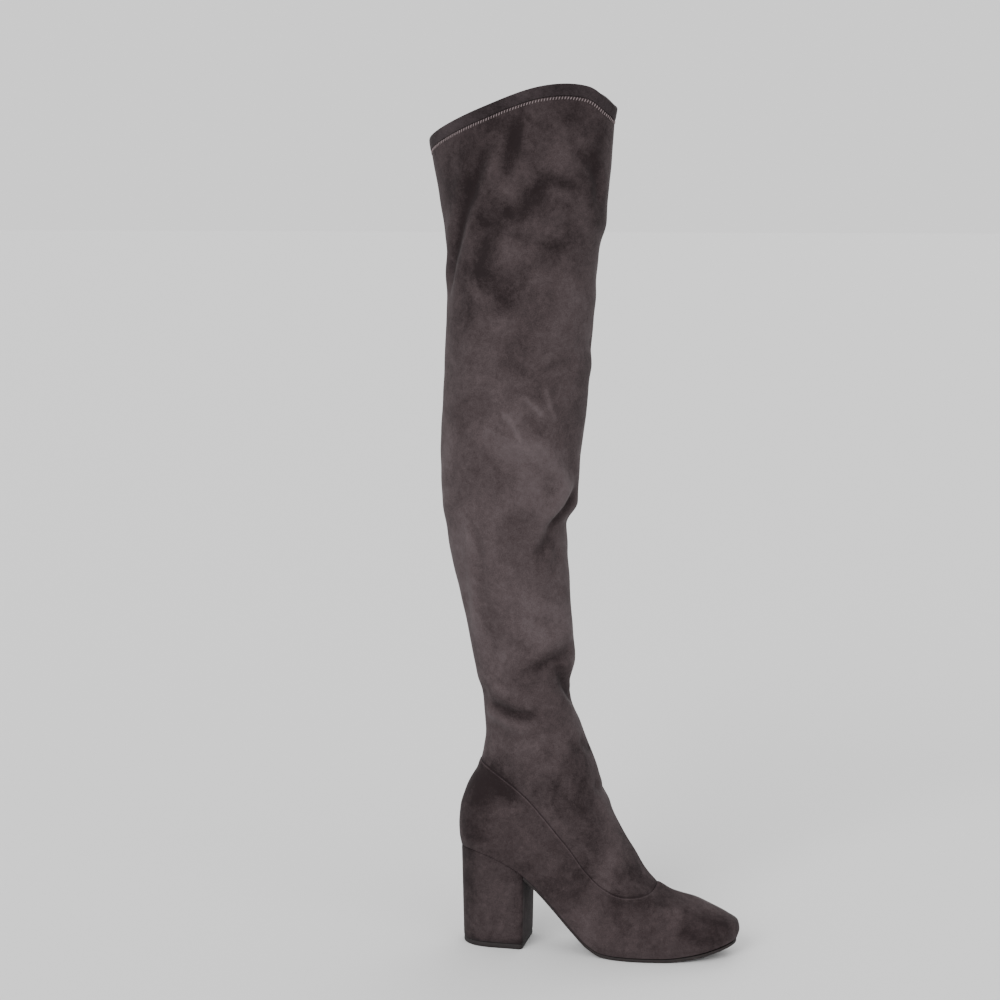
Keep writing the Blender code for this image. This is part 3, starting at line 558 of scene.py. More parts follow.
def coarse_turns(heights):
    """Turns of the coarse columns at each height, with two of them on the slot's edges."""
    middle = zip_line(heights)[:, None]
    half = (ZIP_WIDTH / 2 / zip_pace(heights))[:, None]
    outer = np.linspace(0.0, 0.5, SIDE_CELLS + 1)[None, :-1] + 0.0 * middle
    fore = 0.5 + (middle - half - 0.5) * np.linspace(0.0, 1.0, ZIP_CELL + 1)
    rear = middle + half + (1.0 - middle - half) * np.linspace(0.0, 1.0, SIDE_CELLS - ZIP_CELL)
    return np.concatenate([outer, fore, rear], axis=1)


def fine_turns(heights):
    """Turns of the fine columns: each coarse cell split evenly."""
    coarse = coarse_turns(heights)
    parts = np.arange(SPLIT) / SPLIT
    fine = coarse[:, :-1, None] + (coarse[:, 1:] - coarse[:, :-1])[:, :, None] * parts
    return fine.reshape(len(heights), -1)


def way_along(points):
    """Distance along a row of points to each of them."""
    return np.concatenate([[0.0], np.cumsum(np.linalg.norm(np.diff(points, axis=0), axis=1))])


def fold_path(path):
    """Points in space along a fold's path, with the share of its length at each."""
    fine = np.linspace(0, len(path) - 1, 8 * (len(path) - 1) + 1)
    turns, shares = on_curve(fine, make_curve(np.arange(len(path)), path)).T
    points = surface(turns, shares * COLLAR)
    way = way_along(points)
    return points, way / way[-1]


def nearest_on_path(points, path, shares):
    """Distance from each point to a path, and the share of the path's length there."""
    best = np.full(len(points), 1e9)
    share = np.zeros(len(points))
    for start, end, low, high in zip(path, path[1:], shares, shares[1:]):
        way = end - start
        t = np.clip(((points - start) @ way) / (way @ way), 0.0, 1.0)
        distance = np.linalg.norm(points - (start + t[:, None] * way), axis=1)
        closer = distance < best
        best = np.where(closer, distance, best)
        share = np.where(closer, low + (high - low) * t, share)
    return best, share


def waves(points, length, seed):
    """Gentle uneven swell of about unit height, from a few crossing waves."""
    chance = np.random.default_rng(seed)
    total = np.zeros(len(points))
    for _ in range(9):
        way = chance.normal(size=3)
        way = way / np.linalg.norm(way) * math.tau / (length * chance.uniform(0.7, 1.5))
        total += np.sin(points @ way + chance.uniform(0, math.tau))
    return total / 3.0


def folds(points):
    """How far the folds move each point outwards, and the shade painted into the nap along them (a highlight
    where their tone is below zero).
    """
    move = np.zeros(len(points))
    dark = np.zeros(len(points))
    for depth, width, tone, path in FOLDS:
        width = width / 1000
        line, shares = fold_path(np.array(path) / 1000)
        reach = 4 * width
        near = np.all((points > line.min(axis=0) - reach) & (points < line.max(axis=0) + reach), axis=1)
        distance, share = nearest_on_path(points[near], line, shares)
        taper = ease(share, 0.0, FOLD_TAPER) * ease(1 - share, 0.0, FOLD_TAPER)
        trough = bell(distance, width)
        swell = FOLD_SWELL * bell(distance - 2.0 * width, 1.1 * width)
        move[near] += taper * depth / 1000 * (swell - trough)
        # painted shade in the fold's trough, or a painted highlight along a ridge
        dark[near] += taper * tone * trough
    return move, FOLD_SHADE_LIMIT * np.tanh(dark / FOLD_SHADE_LIMIT)


def placket(turns, heights):
    """Relief of the folded edges and stitched channels beside the zip, with painted highlights on the raised
    edges and painted shade in the channel.
    """
    across = np.abs(turns - zip_line(heights)) * zip_pace(heights)
    ends = ease(heights, ZIP_STOP, 0.006) * ease(ZIP_START + 0.007 - heights, 0.0, 0.004)
    relief = sum(rise * bell(across - middle, width) for middle, width, rise, _ in PLACKET)
    # painted highlight on the raised edges, painted shade in the stitched channel
    tone = sum(dark * bell(across - middle, width) for middle, width, _, dark in PLACKET)
    return ends * relief, ends * tone


def seam_highlight_and_shadow(turns, heights):
    """Painted highlight on the upper's turned edge, fainter over the front, with a painted shadow line above
    it on the leg.
    """
    faint = 1 - 0.6 * bell(turns - 0.5, 0.12)
    light = -1.2 * bell(heights - SEAM + 0.0008, 0.0008)
    dark = bell(heights - SEAM - 0.0012, 0.0012)
    # painted highlight on the turned edge, painted shadow line in the gap above it
    return faint * np.where(heights < SEAM, light, dark)


def worn(turns, heights, lift):
    """Points on the boot's worn outer surface, with their directions and the painted shade and tone of the
    nap.
    """
    turns, heights = np.broadcast_arrays(turns, heights)
    points = surface(turns, heights)
    round_it, up, out = directions(turns, heights)
    upright = ease(heights, 0.0, UPRIGHT_FROM * SEAM)
    flat = unit(out * np.array([1.0, 1.0, 0.0]))
    out = unit(flat + (out - flat) * upright[:, None])
    move, dark = folds(points)
    relief, placket_shade_and_highlight = placket(turns, heights)
    swell = sum(height * waves(points, length, seed) for height, length, seed in SWELLS)
    calm = ease(heights, 0.0, 0.5 * SEAM) * ease(COLLAR - heights, 0.0, 0.05)
    low = points + out * (move + relief + swell * calm + lift)[:, None]
    low[:, 2] += (bottom_line(low[:, 0]) - bottom_line(points[:, 0])) * (1 - upright)
    # painted shade and highlights of the folds, the placket and the seam, with the darkening up the boot
    tone = dark + placket_shade_and_highlight + seam_highlight_and_shadow(turns, heights) + on_curve(heights / COLLAR, TONE_CURVE)[:, 0]
    return low, round_it, up, out, tone


def skin(turns, heights, lift, wall):
    """Grid of points on the worn surface, lifted or set in, with the painted shade and tone of the nap at
    each.
    """
    level = np.repeat(heights, turns.shape[1])
    points, _, _, _, tone = worn(turns.ravel(), level, lift(level) - wall)
    return points.reshape(*turns.shape, 3), tone.reshape(turns.shape)


# Meshes and pieces

def add_object(name, mesh, body="boot"):
    """Object that shows a mesh and rides on a body."""
    made = bpy.data.objects.new(name, mesh)
    bpy.context.collection.objects.link(made)
    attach(made, body)
    return made


def finish_piece(name, mesh, material, sharp, body="boot"):
    """Object of a mesh with a material, smooth but for its sharp edges."""
    mesh.materials.append(material)
    mesh.shade_smooth()
    mesh.set_sharp_from_angle(angle=math.radians(sharp))
    return add_object(name, mesh, body)


def add_mesh(name, points, faces, material, sharp, painted_shade_and_tone=None, closed=True):
    """Piece from points and faces, with the painted shade and tone of the nap at each point, its faces turned
    outwards.
    """
    mesh = bpy.data.meshes.new(name)
    mesh.from_pydata([tuple(point) for point in points], [], [tuple(face) for face in faces])
    mesh.update()
    if painted_shade_and_tone is not None:
        attribute = mesh.attributes.new("painted_shade_and_tone", "FLOAT", "POINT")
        attribute.data.foreach_set("value", np.asarray(painted_shade_and_tone, np.float32))
    if closed:
        model = bmesh.new()
        model.from_mesh(mesh)
        bmesh.ops.recalc_face_normals(model, faces=model.faces)
        model.to_mesh(mesh)
        model.free()
    return finish_piece(name, mesh, material, sharp)


def ring_faces(rows, columns, closed=False):
    """Quads between rows that are rings, and from the last row to the first if closed."""
    faces = []
    for row in range(rows if closed else rows - 1):
        here = row * columns
        above = (row + 1) % rows * columns
        for k in range(columns):
            after = (k + 1) % columns
            faces.append([here + k, here + after, above + after, above + k])
    return faces


def add_rod(name, loops, material, painted_shade_and_tone=None):
    """Solid through loops of points, with one face over each end."""
    rows, count = loops.shape[:2]
    faces = ring_faces(rows, count)
    faces.append(list(range(count)))
    faces.append([(rows - 1) * count + k for k in reversed(range(count))])
    return add_mesh(name, loops.reshape(-1, 3), faces, material, 50, painted_shade_and_tone)


def add_stack(name, outlines, material, sharp=60, tone=None):
    """Solid through stacked outlines and their heights, capped by strips from each point to its partner."""
    loops = [np.column_stack([outline, np.zeros(len(outline)) + heights]) for outline, heights in outlines]
    count = len(loops[0])
    faces = ring_faces(len(loops), count)
    for base in (0, (len(loops) - 1) * count):
        for k in range(1, (count + 1) // 2):
            strip = [base + k - 1, base + k, base + count - k, base + (count - k + 1) % count]
            faces.append(list(dict.fromkeys(strip)))
        if count % 2 == 0:
            faces.append([base + count // 2 - 1, base + count // 2, base + count // 2 + 1])
    points = np.concatenate(loops)
    return add_mesh(name, points, faces, material, sharp, tone(points) if tone else None)


def add_skin(name, coarse_heights, lift, wall, material):
    """Shell with a fine folded outside, a plain inside, and walls round its rims and the zip's slot."""
    steps = np.arange((len(coarse_heights) - 1) * SPLIT + 1) / SPLIT
    heights = np.interp(steps, np.arange(len(coarse_heights)), coarse_heights)
    outside, tone = skin(fine_turns(heights), heights, lift, 0.0)
    inside, _ = skin(coarse_turns(coarse_heights)[:, :-1], coarse_heights, lift, wall)
    columns = outside.shape[1]
    inner_rows, inner_columns = inside.shape[:2]

    def outer_index(row, column):
        return row * columns + column % columns

    def inner_index(row, column):
        return tone.size + row * inner_columns + column % inner_columns

    def in_slot(row, column):
        low, high = coarse_heights[row:row + 2]
        return column == SIDE_CELLS + ZIP_CELL and low >= ZIP_STOP - TINY and high <= ZIP_START + TINY

    cells = [(row, column) for row in range(inner_rows - 1) for column in range(inner_columns)]
    kept = {cell for cell in cells if not in_slot(*cell)}
    faces = []
    for row, column in sorted(kept):
        for r in range(row * SPLIT, row * SPLIT + SPLIT):
            for c in range(column * SPLIT, column * SPLIT + SPLIT):
                faces.append([outer_index(r, c), outer_index(r, c + 1),
                              outer_index(r + 1, c + 1), outer_index(r + 1, c)])
        corners = [(row, column), (row, column + 1), (row + 1, column + 1), (row + 1, column)]
        faces.append([inner_index(*corner) for corner in reversed(corners)])
        around = [(row - 1, column), (row, (column + 1) % inner_columns),
                  (row + 1, column), (row, (column - 1) % inner_columns)]
        for side, other in enumerate(around):
            if other in kept:
                continue
            (r0, c0), (r1, c1) = corners[side], corners[(side + 1) % 4]
            edge = [outer_index(r0 * SPLIT + (r1 - r0) * k, c0 * SPLIT + (c1 - c0) * k)
                    for k in range(SPLIT + 1)]
            faces.append(edge[::-1] + [inner_index(r0, c0), inner_index(r1, c1)])
    points = np.concatenate([outside.reshape(-1, 3), inside.reshape(-1, 3)])
    # painted shade and tone on the outside only
    painted_shade_and_tone = np.concatenate([tone.ravel(), np.zeros(inner_rows * inner_columns)])
    used = sorted({index for face in faces for index in face})
    new_index = {old: new for new, old in enumerate(used)}
    faces = [[new_index[index] for index in face] for face in faces]
    return add_mesh(name, points[used], faces, material, 50, painted_shade_and_tone[used], closed=False)


# Materials

def join(tree, node, inputs):
    """Put a value or a link on each of a node's inputs."""
    for label, value in inputs.items():
        if isinstance(value, bpy.types.NodeSocket):
            tree.links.new(value, node.inputs[label])
        else:
            node.inputs[label].default_value = value
    return node


def add_node(tree, kind, inputs, **settings):
    """Node with its settings, and with a value or a link on each of the inputs given."""
    node = tree.nodes.new(kind)
    for label, value in settings.items():
        setattr(node, label, value)
    return join(tree, node, inputs)


def new_tree(name, kind, inputs, outputs):
    """Node group with named inputs and outputs, and what its inputs give."""
    tree = bpy.data.node_groups.new(name, kind)
    for way, sockets in (("INPUT", inputs), ("OUTPUT", outputs)):
        for label, sort in sockets.items():
            tree.interface.new_socket(label, in_out=way, socket_type="NodeSocket" + sort)
    return tree, tree.nodes.new("NodeGroupInput").outputs


def noise(tree, vector, scale, detail, roughness, distortion=0.0):
    inputs = {"Vector": vector, "Scale": scale, "Detail": detail, "Roughness": roughness,
              "Distortion": distortion}
    return add_node(tree, "ShaderNodeTexNoise", inputs).outputs["Fac"]


def maths(tree, operation, first, second):
    return add_node(tree, "ShaderNodeMath", {0: first, 1: second}, operation=operation).outputs[0]


def weighed(tree, parts):
    """Sum of values, each times its weight."""
    products = [maths(tree, "MULTIPLY", value, weight) for value, weight in parts]
    total = products[0]
    for product in products[1:]:
        total = maths(tree, "ADD", total, product)
    return total


def spread(tree, value, low, high, to_low=0.0, to_high=1.0):
    inputs = {"Value": value, "From Min": low, "From Max": high, "To Min": to_low, "To Max": to_high}
    return add_node(tree, "ShaderNodeMapRange", inputs, clamp=True).outputs["Result"]


def mix_colour(tree, amount, first, second):
    inputs = {0: amount, MIX_FIRST: first, MIX_SECOND: second}
    return add_node(tree, "ShaderNodeMix", inputs, data_type="RGBA").outputs[MIX_RESULT]


def bump(tree, height, strength, distance):
    inputs = {"Height": height, "Strength": strength, "Distance": distance}
    return add_node(tree, "ShaderNodeBump", inputs).outputs["Normal"]


def make_nap_group():
    """Brushed nap: cloudy patches where the pile lies another way, fibre speckle, and the painted shade and
    highlights of each point.
    """
    group, given = new_tree(
        "suede_nap", "ShaderNodeTree",
        {"Coat": "Vector", "Deep": "Color", "Middle": "Color", "Raised": "Color", "Painted_Shade_And_Tone": "Float"},
        {"Color": "Color", "Height": "Float", "Roughness": "Float"})
    layers = [noise(group, given["Coat"], *sizes) for sizes, _ in NAP_LAYERS]
    tone = weighed(group, [(layer, weight) for layer, (_, weight) in zip(layers, NAP_LAYERS)])
    tone = maths(group, "SUBTRACT", tone, NAP_LEVEL)
    # painted shade and tone of each point darken the nap
    tone = maths(group, "SUBTRACT", tone, maths(group, "MULTIPLY", given["Painted_Shade_And_Tone"], NAP_SHADE_AND_TONE))
    dark = mix_colour(group, spread(group, tone, 0.22, 0.50), given["Deep"], given["Middle"])
    add_node(group, "NodeGroupOutput", {
        "Color": mix_colour(group, spread(group, tone, 0.50, 0.78), dark, given["Raised"]),
        "Height": weighed(group, [(layers[-1], 0.6), (layers[-2], 0.4)]),
        "Roughness": spread(group, tone, 0.3, 0.7, 0.98, 0.86)})
    return group


def plain_material(name, colour, roughness, metallic=0.0):
    material = bpy.data.materials.new(name)
    material.use_nodes = True
    shader = material.node_tree.nodes["Principled BSDF"]
    join(material.node_tree, shader, {
        "Base Color": (*colour, 1.0), "Roughness": roughness, "Metallic": metallic,
        "Specular IOR Level": 0.5 if metallic else 0.3})
    return material, material.node_tree, shader


def object_place(tree):
    return tree.nodes.new("ShaderNodeTexCoord").outputs["Object"]


def suede_material(name, deep, middle, raised):
    material, tree, shader = plain_material(name, middle, 0.92)
    # painted shade and tone that each mesh carries
    painted_shade_and_tone = add_node(tree, "ShaderNodeAttribute", {}, attribute_name="painted_shade_and_tone")
    nap = add_node(tree, "ShaderNodeGroup", {
        "Coat": object_place(tree), "Painted_Shade_And_Tone": painted_shade_and_tone.outputs["Fac"], "Deep": (*deep, 1.0),
        "Middle": (*middle, 1.0), "Raised": (*raised, 1.0)}, node_tree=nap_group).outputs
    join(tree, shader, {
        "Base Color": nap["Color"], "Roughness": nap["Roughness"],
        "Normal": bump(tree, nap["Height"], 0.5, 0.0003), "Specular IOR Level": 0.18,
        "Sheen Weight": 0.04, "Sheen Roughness": 0.45, "Sheen Tint": (0.9, 0.82, 0.84, 1.0)})
    return material


def speckled_material(name, dark, light, scale, rough_low, rough_high, relief, metallic):
    """Plain finish with fine uneven colour, roughness and relief."""
    material, tree, shader = plain_material(name, light, rough_low, metallic)
    place = object_place(tree)
    fine = noise(tree, place, scale * 9.0, 3.0, 0.6)
    both = weighed(tree, [(noise(tree, place, scale, 4.0, 0.6), 0.6), (fine, 0.4)])
    share = spread(tree, both, 0.35, 0.65)
    join(tree, shader, {
        "Base Color": mix_colour(tree, share, (*dark, 1.0), (*light, 1.0)),
        "Roughness": spread(tree, both, 0.35, 0.65, rough_low, rough_high),
        "Normal": bump(tree, fine, 0.4, relief)})
    return material


def woven_material(name, dark, light, thread):
    """Fine plain weave of crossing threads, for the lining and the zip's tape."""
    material, tree, shader = plain_material(name, light, 0.9)
    place = object_place(tree)
    inputs = {"Vector": place, "Scale": WAVE_SCALE / thread, "Distortion": 0.4}
    threads = [add_node(tree, "ShaderNodeTexWave", inputs, wave_type="BANDS", bands_direction=direction)
               for direction in ("X", "Z")]
    weave = maths(tree, "MULTIPLY", *(wave.outputs["Fac"] for wave in threads))
    tone = weighed(tree, [(weave, 0.5), (noise(tree, place, 60.0, 4.0, 0.6), 0.5)])
    join(tree, shader, {
        "Base Color": mix_colour(tree, spread(tree, tone, 0.2, 0.7), (*dark, 1.0), (*light, 1.0)),
        "Normal": bump(tree, weave, 0.5, 0.0002)})
    return material


nap_group = make_nap_group()
looks = {name: suede_material(name, *colours) for name, *colours in SUEDES}
looks.update({name: woven_material(name, *values) for name, *values in WEAVES})
looks.update({name: speckled_material(name, *values) for name, *values in SPECKLES})


# Shells of suede

def upper_lift(level):
    """The upper's top edge lies over the leg, with a rounded turned edge."""
    edge = np.clip(1 - (SEAM - level) / 0.0032, 0, 1)
    return UPPER_EDGE * np.sqrt(1 - edge ** 2) * ease(level, 0.85 * SEAM, 0.1 * SEAM)


def shaft_lift(level):
    """The leg tucks under the upper's edge and under the band."""
    under_upper = ease(SEAM + 0.004 - level, 0.0, 0.004)
    under_band = ease(level - BAND + 0.003, 0.0, 0.003)
    return -0.0003 * under_upper - 0.0002 * under_band


def band_lift(level):
    """The band is a little padded, with rounded edges."""
    middle = (level - BAND) / (COLLAR - BAND) * 2 - 1
    return BAND_STEP + BAND_PADDING * np.sqrt(np.clip(1 - np.abs(middle) ** 3, 0, 1))


def no_lift(level):
    return 0.0 * level


def rows_between(stops, counts):
    """Heights from stop to stop, with a count of even cells between each pair."""
    rows = [np.linspace(low, high, count + 1)[:-1] for low, high, count in zip(stops, stops[1:], counts)]
    return np.concatenate(rows + [stops[-1:]])


half_gap = CLEARANCE / 2
upper_rows = rows_between([0.0, ZIP_STOP, SEAM - half_gap], [6, 26])
shaft_rows = rows_between([SEAM + half_gap, ZIP_START, BAND - half_gap], [32, 66])
band_rows = rows_between([BAND + half_gap, COLLAR], [5])
upper = add_skin("upper_suede", upper_rows, upper_lift, UPPER_WALL, looks["vamp_suede"])
shaft = add_skin("shaft_suede", shaft_rows, shaft_lift, SHAFT_WALL, looks["stretch_suede"])
band = add_skin("collar_band_suede", band_rows, band_lift, BAND_WALL, looks["band_suede"])
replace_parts(upper, "upper")
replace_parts(shaft, "shaft")
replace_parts(band, "collar_band")


def make_lining():
    """Thin cloth just inside the leg and the upper, open at the collar."""
    heights = rows_between([0.10 * SEAM, ZIP_START, BAND + LINING_TUCK], [39, 59])
    turns = np.tile(np.arange(LINING_COLUMNS) / LINING_COLUMNS, (len(heights), 1))
    outside, _ = skin(turns, heights, no_lift, UPPER_WALL + CLEARANCE)
    inside, _ = skin(turns, heights, no_lift, UPPER_WALL + CLEARANCE + LINING_THICKNESS)
    points = np.concatenate([outside, inside[::-1]]).reshape(-1, 3)
    faces = ring_faces(2 * len(heights), LINING_COLUMNS, closed=True)
    add_mesh("leg_lining", points, faces, looks["lining_cloth"], 50)


make_lining()


# Sole and heel

def feather(turns, inset):
    """The sole's edge seen from above, brought in by an inset."""
    level = np.zeros(len(turns))
    point = surface(turns, level)[:, :2]
    out = unit(directions(turns, level)[2][:, :2])
    return point - out * inset


def make_outsole():
    ring = RINGS[0]
    start = HEEL_BACK + HEEL_TOP_LENGTH + CLEARANCE
    first = (start - ring.back_x) / (ring.front_x - ring.back_x)
    outer = np.linspace(0.5, math.acos(1 - 2 * first) / math.tau, 90)
    turns = np.concatenate([outer, 1 - outer[:0:-1]])
    outlines = []
    for inset, share in SOLE_EDGES:
        outline = feather(turns, inset)
        outline[len(outer) - 1:len(outer) + 1, 0] = start
        outlines.append((outline, bottom_line(outline[:, 0]) - CLEARANCE - share * SOLE_THICKNESS))
    return add_stack("outsole_black", outlines, looks["sole_edge"])


def heel_outline(level, inset):
    """Points round the heel block, from its back, at a level from the tread to the seat."""
    corner = np.radians(np.linspace(0, 90, 8))
    ring = RINGS[0]
    seat_front = HEEL_BACK + HEEL_TOP_LENGTH
    base_front = HEEL_BASE_BACK + HEEL_BASE_LENGTH
    front = base_front + (seat_front - base_front) * level
    turns = np.arange(60) / 240
    forward = (1 - np.cos(math.tau * turns)) / 2
    flank = forward * (ring.front_x - ring.back_x) / (seat_front - ring.back_x)
    turns = turns[flank < 1 - HEEL_CORNER / HEEL_TOP_LENGTH]
    flank = flank[:len(turns)]
    base_cap = (1 - (1 - np.clip(flank / 0.55, 0, 1)) ** HEEL_POWER) ** (1 / HEEL_POWER)
    sides = []
    for side_turns, sign in ((turns, -1.0), (1 - turns, 1.0)):
        seat = feather(side_turns, CLEARANCE)
        base = np.column_stack([HEEL_BASE_BACK + flank * HEEL_BASE_LENGTH,
                                sign * HEEL_BASE_WIDTH / 2 * base_cap])
        half = HEEL_BASE_WIDTH / 2 + (abs(seat[-1, 1]) - HEEL_BASE_WIDTH / 2) * level
        turned = np.column_stack([front - HEEL_CORNER * (1 - np.sin(corner)),
                                  sign * (half - HEEL_CORNER * (1 - np.cos(corner)))])
        sides.append(np.concatenate([base + (seat - base) * level, turned]))
    outline = np.concatenate([sides[0], sides[1][:0:-1]])
    centre = np.array([HEEL_BASE_BACK + HEEL_BASE_LENGTH / 2, 0.0])
    away = outline - centre
    return centre + away * (1 - inset / np.linalg.norm(away, axis=1, keepdims=True))


def heel_painted_shade(places):
    """Painted shade on the heel block, darker towards its back and breast, at its foot and under the sole at
    its top, least a little below its middle.
    """
    rise = (places[:, 2] - HEEL_BASE) / (HEEL_HEIGHT - HEEL_BASE)
    middle = HEEL_BASE_BACK + 0.55 * HEEL_BASE_LENGTH
    away = np.abs(places[:, 0] - middle) / (HEEL_BASE_LENGTH / 2)
    ends = 0.7 * ease(0.10 - rise, 0.0, 0.10) + 0.4 * ease(rise, 0.75, 0.2)
    # painted shade at the back, breast, foot and top of the heel
    return 0.9 * ease(away, 0.25, 0.7) + ends + 0.2 - 0.2 * bell(rise - 0.4, 0.25)


def make_heel():
    levels = [(0.0, 0.0008), (0.012, 0.0001)] + [(level, 0.0) for level in np.linspace(0.04, 0.96, 22)]
    outlines = []
    for level, inset in levels + [(0.988, 0.0003), (1.0, 0.0010)]:
        outline = heel_outline(level, inset)
        top = bottom_line(outline[:, 0]) - CLEARANCE
        outlines.append((outline, HEEL_BASE + (top - HEEL_BASE) * level))
    return add_stack("heel_block_suede", outlines, looks["heel_suede"], tone=heel_painted_shade)


def make_lift():
    outlines = [(heel_outline(0.0, inset), height) for height, inset in LIFT_EDGES]
    return add_stack("top_lift_black", outlines, looks["lift_rubber"])


def make_sock():
    """Insole with a covered top and a rounded edge."""
    outlines = []
    for inset, rise in ((0.0, 0.0), (0.0, INSOLE_THICKNESS - 0.0006), (0.0006, INSOLE_THICKNESS)):
        outline = feather(np.arange(160) / 160, UPPER_WALL + INSOLE_GAP + inset)
        outlines.append((outline, bottom_line(outline[:, 0]) + rise))
    return add_stack("insole_sock", outlines, looks["insole_sock"], 50)


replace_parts(make_outsole(), "outsole")
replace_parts(make_heel(), "heel")
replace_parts(make_lift(), "top_lift")
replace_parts(make_sock(), "insole")


# Stitches, laid by geometry nodes on points that carry their directions

def make_stitch_tree():
    """Each point of the input becomes one rounded stitch along the point's direction."""
    tree, given = new_tree(
        "stitches", "GeometryNodeTree",
        {"Geometry": "Geometry", "Length": "Float", "Thickness": "Float", "Thread": "Material"},
        {"Geometry": "Geometry"})

    def step(kind, output, inputs, **settings):
        return add_node(tree, kind, inputs, **settings).outputs[output]

    ball = step("GeometryNodeMeshUVSphere", "Mesh", {"Segments": 8, "Rings": 5, "Radius": 0.5})
    size = step("ShaderNodeCombineXYZ", "Vector",
                {"X": given["Length"], "Y": given["Thickness"], "Z": given["Thickness"]})
    shape = step("GeometryNodeTransform", "Geometry", {"Geometry": ball, "Scale": size})
    run, out = [step("GeometryNodeInputNamedAttribute", "Attribute", {"Name": label},
                     data_type="FLOAT_VECTOR") for label in ("run", "out")]
    turned = step("FunctionNodeAlignRotationToVector", "Rotation", {"Vector": run}, axis="X")
    turned = step("FunctionNodeAlignRotationToVector", "Rotation", {"Vector": out, "Rotation": turned},
                  axis="Z", pivot_axis="X")
    laid = step("GeometryNodeInstanceOnPoints", "Instances",
                {"Points": given["Geometry"], "Instance": shape, "Rotation": turned})
    real = step("GeometryNodeRealizeInstances", "Geometry", {"Geometry": laid})
    soft = step("GeometryNodeSetShadeSmooth", "Geometry", {"Geometry": real})
    coloured = step("GeometryNodeSetMaterial", "Geometry", {"Geometry": soft, "Material": given["Thread"]})
    add_node(tree, "NodeGroupOutput", {"Geometry": coloured})
    return tree


stitch_tree = make_stitch_tree()


def add_stitches(name, points, runs, outs, length, thickness, thread):
    """One mesh of stitches at the points, made by the stitch tree."""
    mesh = bpy.data.meshes.new(name + "_points")
    mesh.from_pydata([tuple(point) for point in points], [], [])
    for label, vectors in (("run", runs), ("out", outs)):
        attribute = mesh.attributes.new(label, "FLOAT_VECTOR", "POINT")
        attribute.data.foreach_set("vector", np.asarray(vectors, np.float32).ravel())
    guide = bpy.data.objects.new(name + "_points", mesh)
    bpy.context.collection.objects.link(guide)
    modifier = guide.modifiers.new("stitches", "NODES")
    modifier.node_group = stitch_tree
    amounts = {"Length": length, "Thickness": thickness, "Thread": looks[thread]}
    for item in stitch_tree.interface.items_tree:
        if item.name in amounts:
            modifier[item.identifier] = amounts[item.name]
    bpy.context.view_layer.update()
    evaluated = guide.evaluated_get(bpy.context.evaluated_depsgraph_get())
    made_mesh = bpy.data.meshes.new_from_object(evaluated)
    bpy.data.objects.remove(guide, do_unlink=True)
    made_mesh.name = name
    return add_object(name, made_mesh)


def ring_turns(height):
    """Turns evenly spaced round the boot at a height, about one stitch apart."""
    fine = np.linspace(0, 1, 721)
    way = way_along(surface(fine, height))
    count = 2 * round(way[-1] / STITCH_PITCH / 2)
    return np.interp((np.arange(count) + 0.5) / count * way[-1], way, fine)


def make_zigzag():
    """Light leaning stitches under the collar band, with the thin thread that returns between them."""
    level = BAND - 0.0017
    turns = ring_turns(level)
    shift = (turns[1] - turns[0]) / 2
    for name, moved, lift, lean, thickness, thread in (
            ("collar_zigzag", 0.0, 0.00012, 0.40, 0.00082, "light_thread"),
            ("collar_return", shift, 0.00008, -0.60, 0.00028, "dark_thread")):
        points, round_it, up, out, _ = worn(turns + moved, level, lift)
        add_stitches(name, points, unit(up + lean * round_it), out, 0.0031, thickness, thread)


def make_seam_stitches():
    """Stitch row on the upper, just under its turned edge."""
    level = SEAM - 0.0023
    turns = ring_turns(level)
    clear = np.abs(turns - zip_line(level)) * zip_pace(level) > ZIP_WIDTH / 2 + 0.001
    points, round_it, _, out, _ = worn(turns[clear], level, 0.0004)
    add_stitches("seam_stitches", points, round_it, out, 0.0019, 0.0004, "dark_thread")


def on_zip(heights, across, lift):
    """Points beside the zip's line: across runs towards the back, lift runs outwards."""
    return worn(zip_line(heights) + across / zip_pace(heights), heights, lift)


def make_zip_stitches():
    """Stitch rows that hold the zip's tape on both sides of the slot and over its top."""
    heights = np.linspace(ZIP_STOP * 0.8, ZIP_START + 0.003, 88)
    parts = []
    for side in (-1.0, 1.0):
        place, _, _, out, _ = on_zip(heights, side * PLACKET[1][0], 0.00045)
        parts.append((place, unit(np.gradient(place, axis=0)), out))
    place, round_it, _, out, _ = on_zip(ZIP_START + 0.0035, np.linspace(-0.0078, 0.0078, 8), 0.0002)
    parts.append((place, round_it, out))
    points, runs, outs = (np.concatenate(part) for part in zip(*parts))
    add_stitches("zip_stitches", points, runs, outs, 0.0018, 0.00042, "dark_thread")


def make_zip_tack():
    """Close stitches that bar the top end of the slot."""
    place, _, up, out, _ = on_zip(ZIP_START + 0.0002, np.linspace(-0.0038, 0.0038, 17), 0.0002)
    add_stitches("zip_tack", place, up, out, 0.0026, 0.00055, "dark_thread")


make_zigzag()
make_seam_stitches()
make_zip_stitches()
make_zip_tack()


# Zip

def sweep_on_zip(name, profile, material):
    """Closed strip along the zip, from a profile of distances across it and out of it."""
    heights = np.linspace(ZIP_STOP + CLEARANCE, ZIP_START - CLEARANCE, 130)
    rows = np.stack([on_zip(heights, across, lift)[0] for across, lift in profile], axis=1)
    return add_rod(name, rows, material, np.full(rows.size // 3, LIP_TONE))


